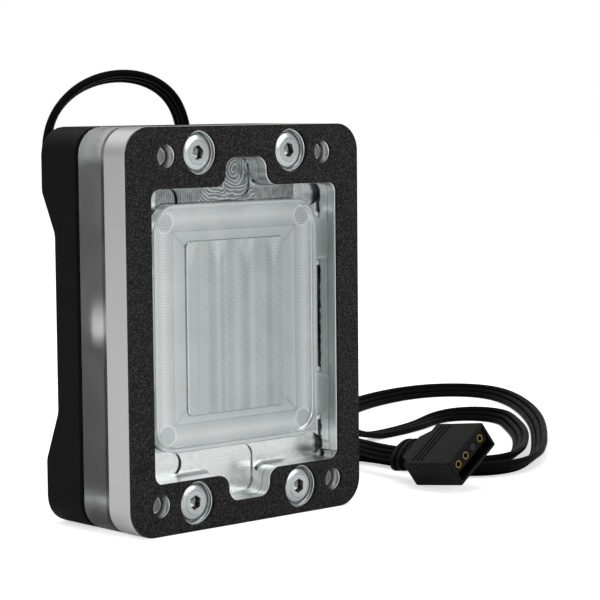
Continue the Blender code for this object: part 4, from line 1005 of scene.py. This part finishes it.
def turned(name, profile, thread, hexagon):
    """A screw along Y: a turned profile (radius, y), a thread (from y, to y, radius, pitch), and a hex
    socket (mouth y, bottom y, half the width across its flats)."""
    work = bmesh.new()
    marks = work.loops.layers.uv.new("turning")

    def skin(rings, heights):
        rings = [[work.verts.new(spot) for spot in ring] for ring in rings]
        for (low, start), (high, end) in zip(zip(rings, heights), zip(rings[1:], heights[1:])):
            for i in range(len(low)):
                j = (i + 1) % len(low)
                face = work.faces.new((low[i], low[j], high[j], high[i]))
                for loop, level in zip(face.loops, (start, start, end, end)):
                    loop[marks].uv = (i / len(low), level * 1000)
        work.faces.new(rings[0][::-1])
        work.faces.new(rings[-1])

    walked = [0.0]
    for before, after in zip(profile, profile[1:]):
        walked.append(walked[-1] + math.dist(before, after))
    skin([ring_points(radius, y, TURN_POINTS) for radius, y in profile], walked)
    start, end, outside, pitch = thread
    steps = round((end - start) / pitch * THREAD_STEPS)
    heights = [start + (end - start) * step / steps for step in range(steps + 1)]
    rings = []
    for y in heights:
        ring = []
        for i, (across, level_y, along) in enumerate(ring_points(1.0, y, THREAD_POINTS)):
            phase = (y / pitch - i / THREAD_POINTS) % 1.0
            radius = outside - pitch * 0.5 * abs(2 * phase - 1)
            ring.append((radius * across, level_y, radius * along))
        rings.append(ring)
    skin(rings, heights)
    bmesh.ops.recalc_face_normals(work, faces=work.faces)
    made = made_from(work, name)
    mouth, bottom, flat = hexagon
    corner = flat / math.cos(math.pi / HEX_POINTS)
    six = [2 * math.pi * (i + 0.5) / HEX_POINTS for i in range(HEX_POINTS)]
    sign = 1 if bottom > mouth else -1
    levels = (
        (mouth - sign * KEY_START, corner + KEY_FLARE),
        (mouth + sign * CHAMFER, corner),
        (bottom, corner),
        (bottom + sign * flat * 0.5, 0.00005),
    )
    key_levels = [(y, [Vector((size * math.cos(a), size * math.sin(a))) for a in six]) for y, size in levels]
    carve(made, "DIFFERENCE", loft("key", key_levels))
    smooth_rounded_edges(made, 35)
    # The faces inside the hex socket, which the finish paints a darker grey as shade.
    inside = made.data.attributes.new("key_painted_shade", "FLOAT", "FACE")
    for face in made.data.polygons:
        sunk = (face.center.y - mouth) * sign > KEY_LIP
        sunk = sunk and math.hypot(face.center.x, face.center.z) < corner
        inside.data[face.index].value = 1.0 if sunk else 0.0
    return made


tree = bpy.data.node_groups.new("screws in place", "GeometryNodeTree")
tree.interface.new_socket("Places", in_out="INPUT", socket_type="NodeSocketGeometry")
screw_socket = tree.interface.new_socket("Screw", in_out="INPUT", socket_type="NodeSocketObject")
finish_socket = tree.interface.new_socket("Finish", in_out="INPUT", socket_type="NodeSocketMaterial")
tree.interface.new_socket("Screws", in_out="OUTPUT", socket_type="NodeSocketGeometry")
given = add(tree, "NodeGroupInput")
shape = add(tree, "GeometryNodeObjectInfo", {"Object": given.outputs["Screw"]})
turns = add(tree, "FunctionNodeRandomValue", {2: 0.0, 3: 2 * math.pi, "Seed": 4}, data_type="FLOAT")
heading = add(tree, "ShaderNodeCombineXYZ", {"Y": turns.outputs[1]})
tightened = add(tree, "FunctionNodeEulerToRotation", {0: heading.outputs[0]})
places = {"Points": given.outputs["Places"], "Instance": shape.outputs["Geometry"]}
placed = add(tree, "GeometryNodeInstanceOnPoints", {**places, "Rotation": tightened.outputs[0]})
solid = add(tree, "GeometryNodeRealizeInstances", {"Geometry": placed.outputs[0]})
finish = {"Geometry": solid.outputs[0], "Material": given.outputs["Finish"]}
coated = add(tree, "GeometryNodeSetMaterial", finish)
add(tree, "NodeGroupOutput", {0: coated.outputs[0]})
screw_tree = tree


def set_screws(name, screw, spots, finish, kind):
    """Puts a screw at each spot (x, z) and lets the whole set stand for the CAD's four."""
    mesh = bpy.data.meshes.new(name)
    mesh.from_pydata([(x, 0.0, z) for x, z in spots], [], [])
    made = bpy.data.objects.new(name, mesh)
    scene.collection.objects.link(made)
    step = made.modifiers.new("screws in place", "NODES")
    step.node_group = screw_tree
    step[screw_socket.identifier] = screw
    step[finish_socket.identifier] = finish
    settle_modifiers(made)
    bpy.data.objects.remove(screw)
    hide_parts(*[f"{kind}_{number}" for number in range(1, 5)])
    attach(made, "root")


def turned_steel(name, dark, light, rough):
    """Steel with fine rings from the lathe, 0.12 mm apart along the turned profile, and painted shade in the
    hex socket, whose faces are a darker grey.
    """
    made, tree, shader = new_material(name)
    place = add(tree, "ShaderNodeTexCoord")
    rings = add(tree, "ShaderNodeMapping", {"Vector": place.outputs["UV"], "Scale": (0.4, 8.0, 1.0)})
    cut_marks = noise(tree, rings.outputs[0], 1.0, 2.0)
    inside = add(tree, "ShaderNodeAttribute", attribute_name="key_painted_shade")
    tone = mixed(tree, inside.outputs["Fac"], mixed(tree, cut_marks, dark, light), "#909090")
    relief = bumped(tree, cut_marks, 0.2, 0.00002)
    finish = {"Base Color": tone, "Metallic": 1.0, "Roughness": rough, "Normal": relief}
    set_inputs(tree, shader, finish)
    return made


low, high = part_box("assembly_screw_1")
head_front = PAD_FRONT + 0.0007
head_back = low.y + 0.0017
head = (
    (0.0014, 0.0), (0.0021, 0.00002), (0.00216, 0.0001), (0.00222, 0.00002), (0.0030, 0.0001),
    (0.00318, 0.00022), (0.00325, 0.00042), (0.00328, 0.0009), (0.0035, 0.0010),
)
shank = (
    (0.0035, head_back - 0.0002), (0.0031, head_back), (0.0014, head_back), (0.0014, high.y - 0.0003),
    (0.0011, high.y),
)
thread = (head_back + SEATING, high.y - SEATING, 0.0015, 0.0005)
key = (head_front, head_front + 0.0015, 0.00112)
profile = [(radius, head_front + back) for radius, back in head] + list(shank)
set_screws(
    "assembly_screws",
    turned("assembly_screw", profile, thread, key),
    ASSEMBLY_SPOTS,
    turned_steel("bright turned steel", "#b0b5b5", "#d2d7d7", 0.24),
    "assembly_screw",
)
low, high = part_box("mounting_screw_1")
shoulder = high.y - 0.0022
profile = (
    (0.0013, low.y), (0.0016, low.y + 0.00015), (0.0016, shoulder), (0.0032, shoulder),
    (0.0033, shoulder + 0.0002), (0.0033, high.y - 0.0005), (0.0029, high.y - 0.0001), (0.0026, high.y),
)
thread = (low.y + 0.0002, shoulder - SEATING, 0.0018, 0.0007)
key = (high.y, high.y - 0.0012, 0.00125)
set_screws(
    "mounting_screws",
    turned("mounting_screw", profile, thread, key),
    MOUNTING_SPOTS,
    turned_steel("zinc-plated steel", "#e2e4e8", "#f2f4f6", 0.5),
    "mounting_screw",
)

# Socket. A black nylon housing is moulded in two halves with an eroded skin and three finger grooves;
# its insert holds three gold-plated contacts and a blocked fourth hole, and a soft boot grips the lead.
SOCKET_PLACE = Vector((0.05027, -0.01955, 0.00735))
SOCKET_TURN = Euler((math.radians(-8.3), math.radians(-34.1), math.radians(3.4)))
housing = merged("connector_housing", "socket_housing", 0.00030, 3)
nylon, tree, shader = new_material("eroded black nylon")
place = add(tree, "ShaderNodeTexCoord")
own = add(
    tree,
    "ShaderNodeMapping",
    {"Vector": place.outputs["Object"], "Location": SOCKET_PLACE, "Rotation": SOCKET_TURN},
    vector_type="TEXTURE",
)
eroded = noise(tree, own.outputs[0], 4200.0, 2.0)
flow = noise(tree, own.outputs[0], 260.0, 3.0)
height_above = add(tree, "ShaderNodeSeparateXYZ", {0: own.outputs[0]})
from_seam = add(tree, "ShaderNodeMath", {0: height_above.outputs[2]}, operation="ABSOLUTE")
seam = map_range(tree, from_seam.outputs[0], 0.00004, 0.00012, 1.0, 0.0)
relief = add(tree, "ShaderNodeMath", {0: seam, 1: 2.5, 2: eroded}, operation="MULTIPLY_ADD")
relief = (relief.outputs[0], 0.5, 0.00006)
surface(tree, shader, (flow, "#080807", "#0f0f0e"), (eroded, 0.42, 0.58), relief)
shader.inputs["Specular IOR Level"].default_value = 0.10
housing.data.materials.append(nylon)
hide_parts("connector_housing")
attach(housing, "root")
insert = merged("socket_insert", "socket_insert_block", 0.00010, 2)
insert.data.materials.append(nylon)
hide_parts("socket_insert")
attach(insert, "root")
key_nylon = grained("black key nylon", "#111111", "#181817", 0.00020, (0.40, 0.50), 0.2, specular=0.25)
dress("key_plug", key_nylon)
gold = grained("gold-plated brass", "#6f5c34", "#99824b", 0.00020, (0.18, 0.28), 0.1, 1.0)
for number in range(1, 4):
    dress(f"contact_{number}", gold)
boot = merged("connector_boot", "socket_boot", 0.00010, 2)
boot.data.materials.append(
    grained("soft black PVC", "#0a0a0a", "#101010", 0.00030, (0.42, 0.55), 0.25, specular=0.06)
)
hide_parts("connector_boot")
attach(boot, "root")
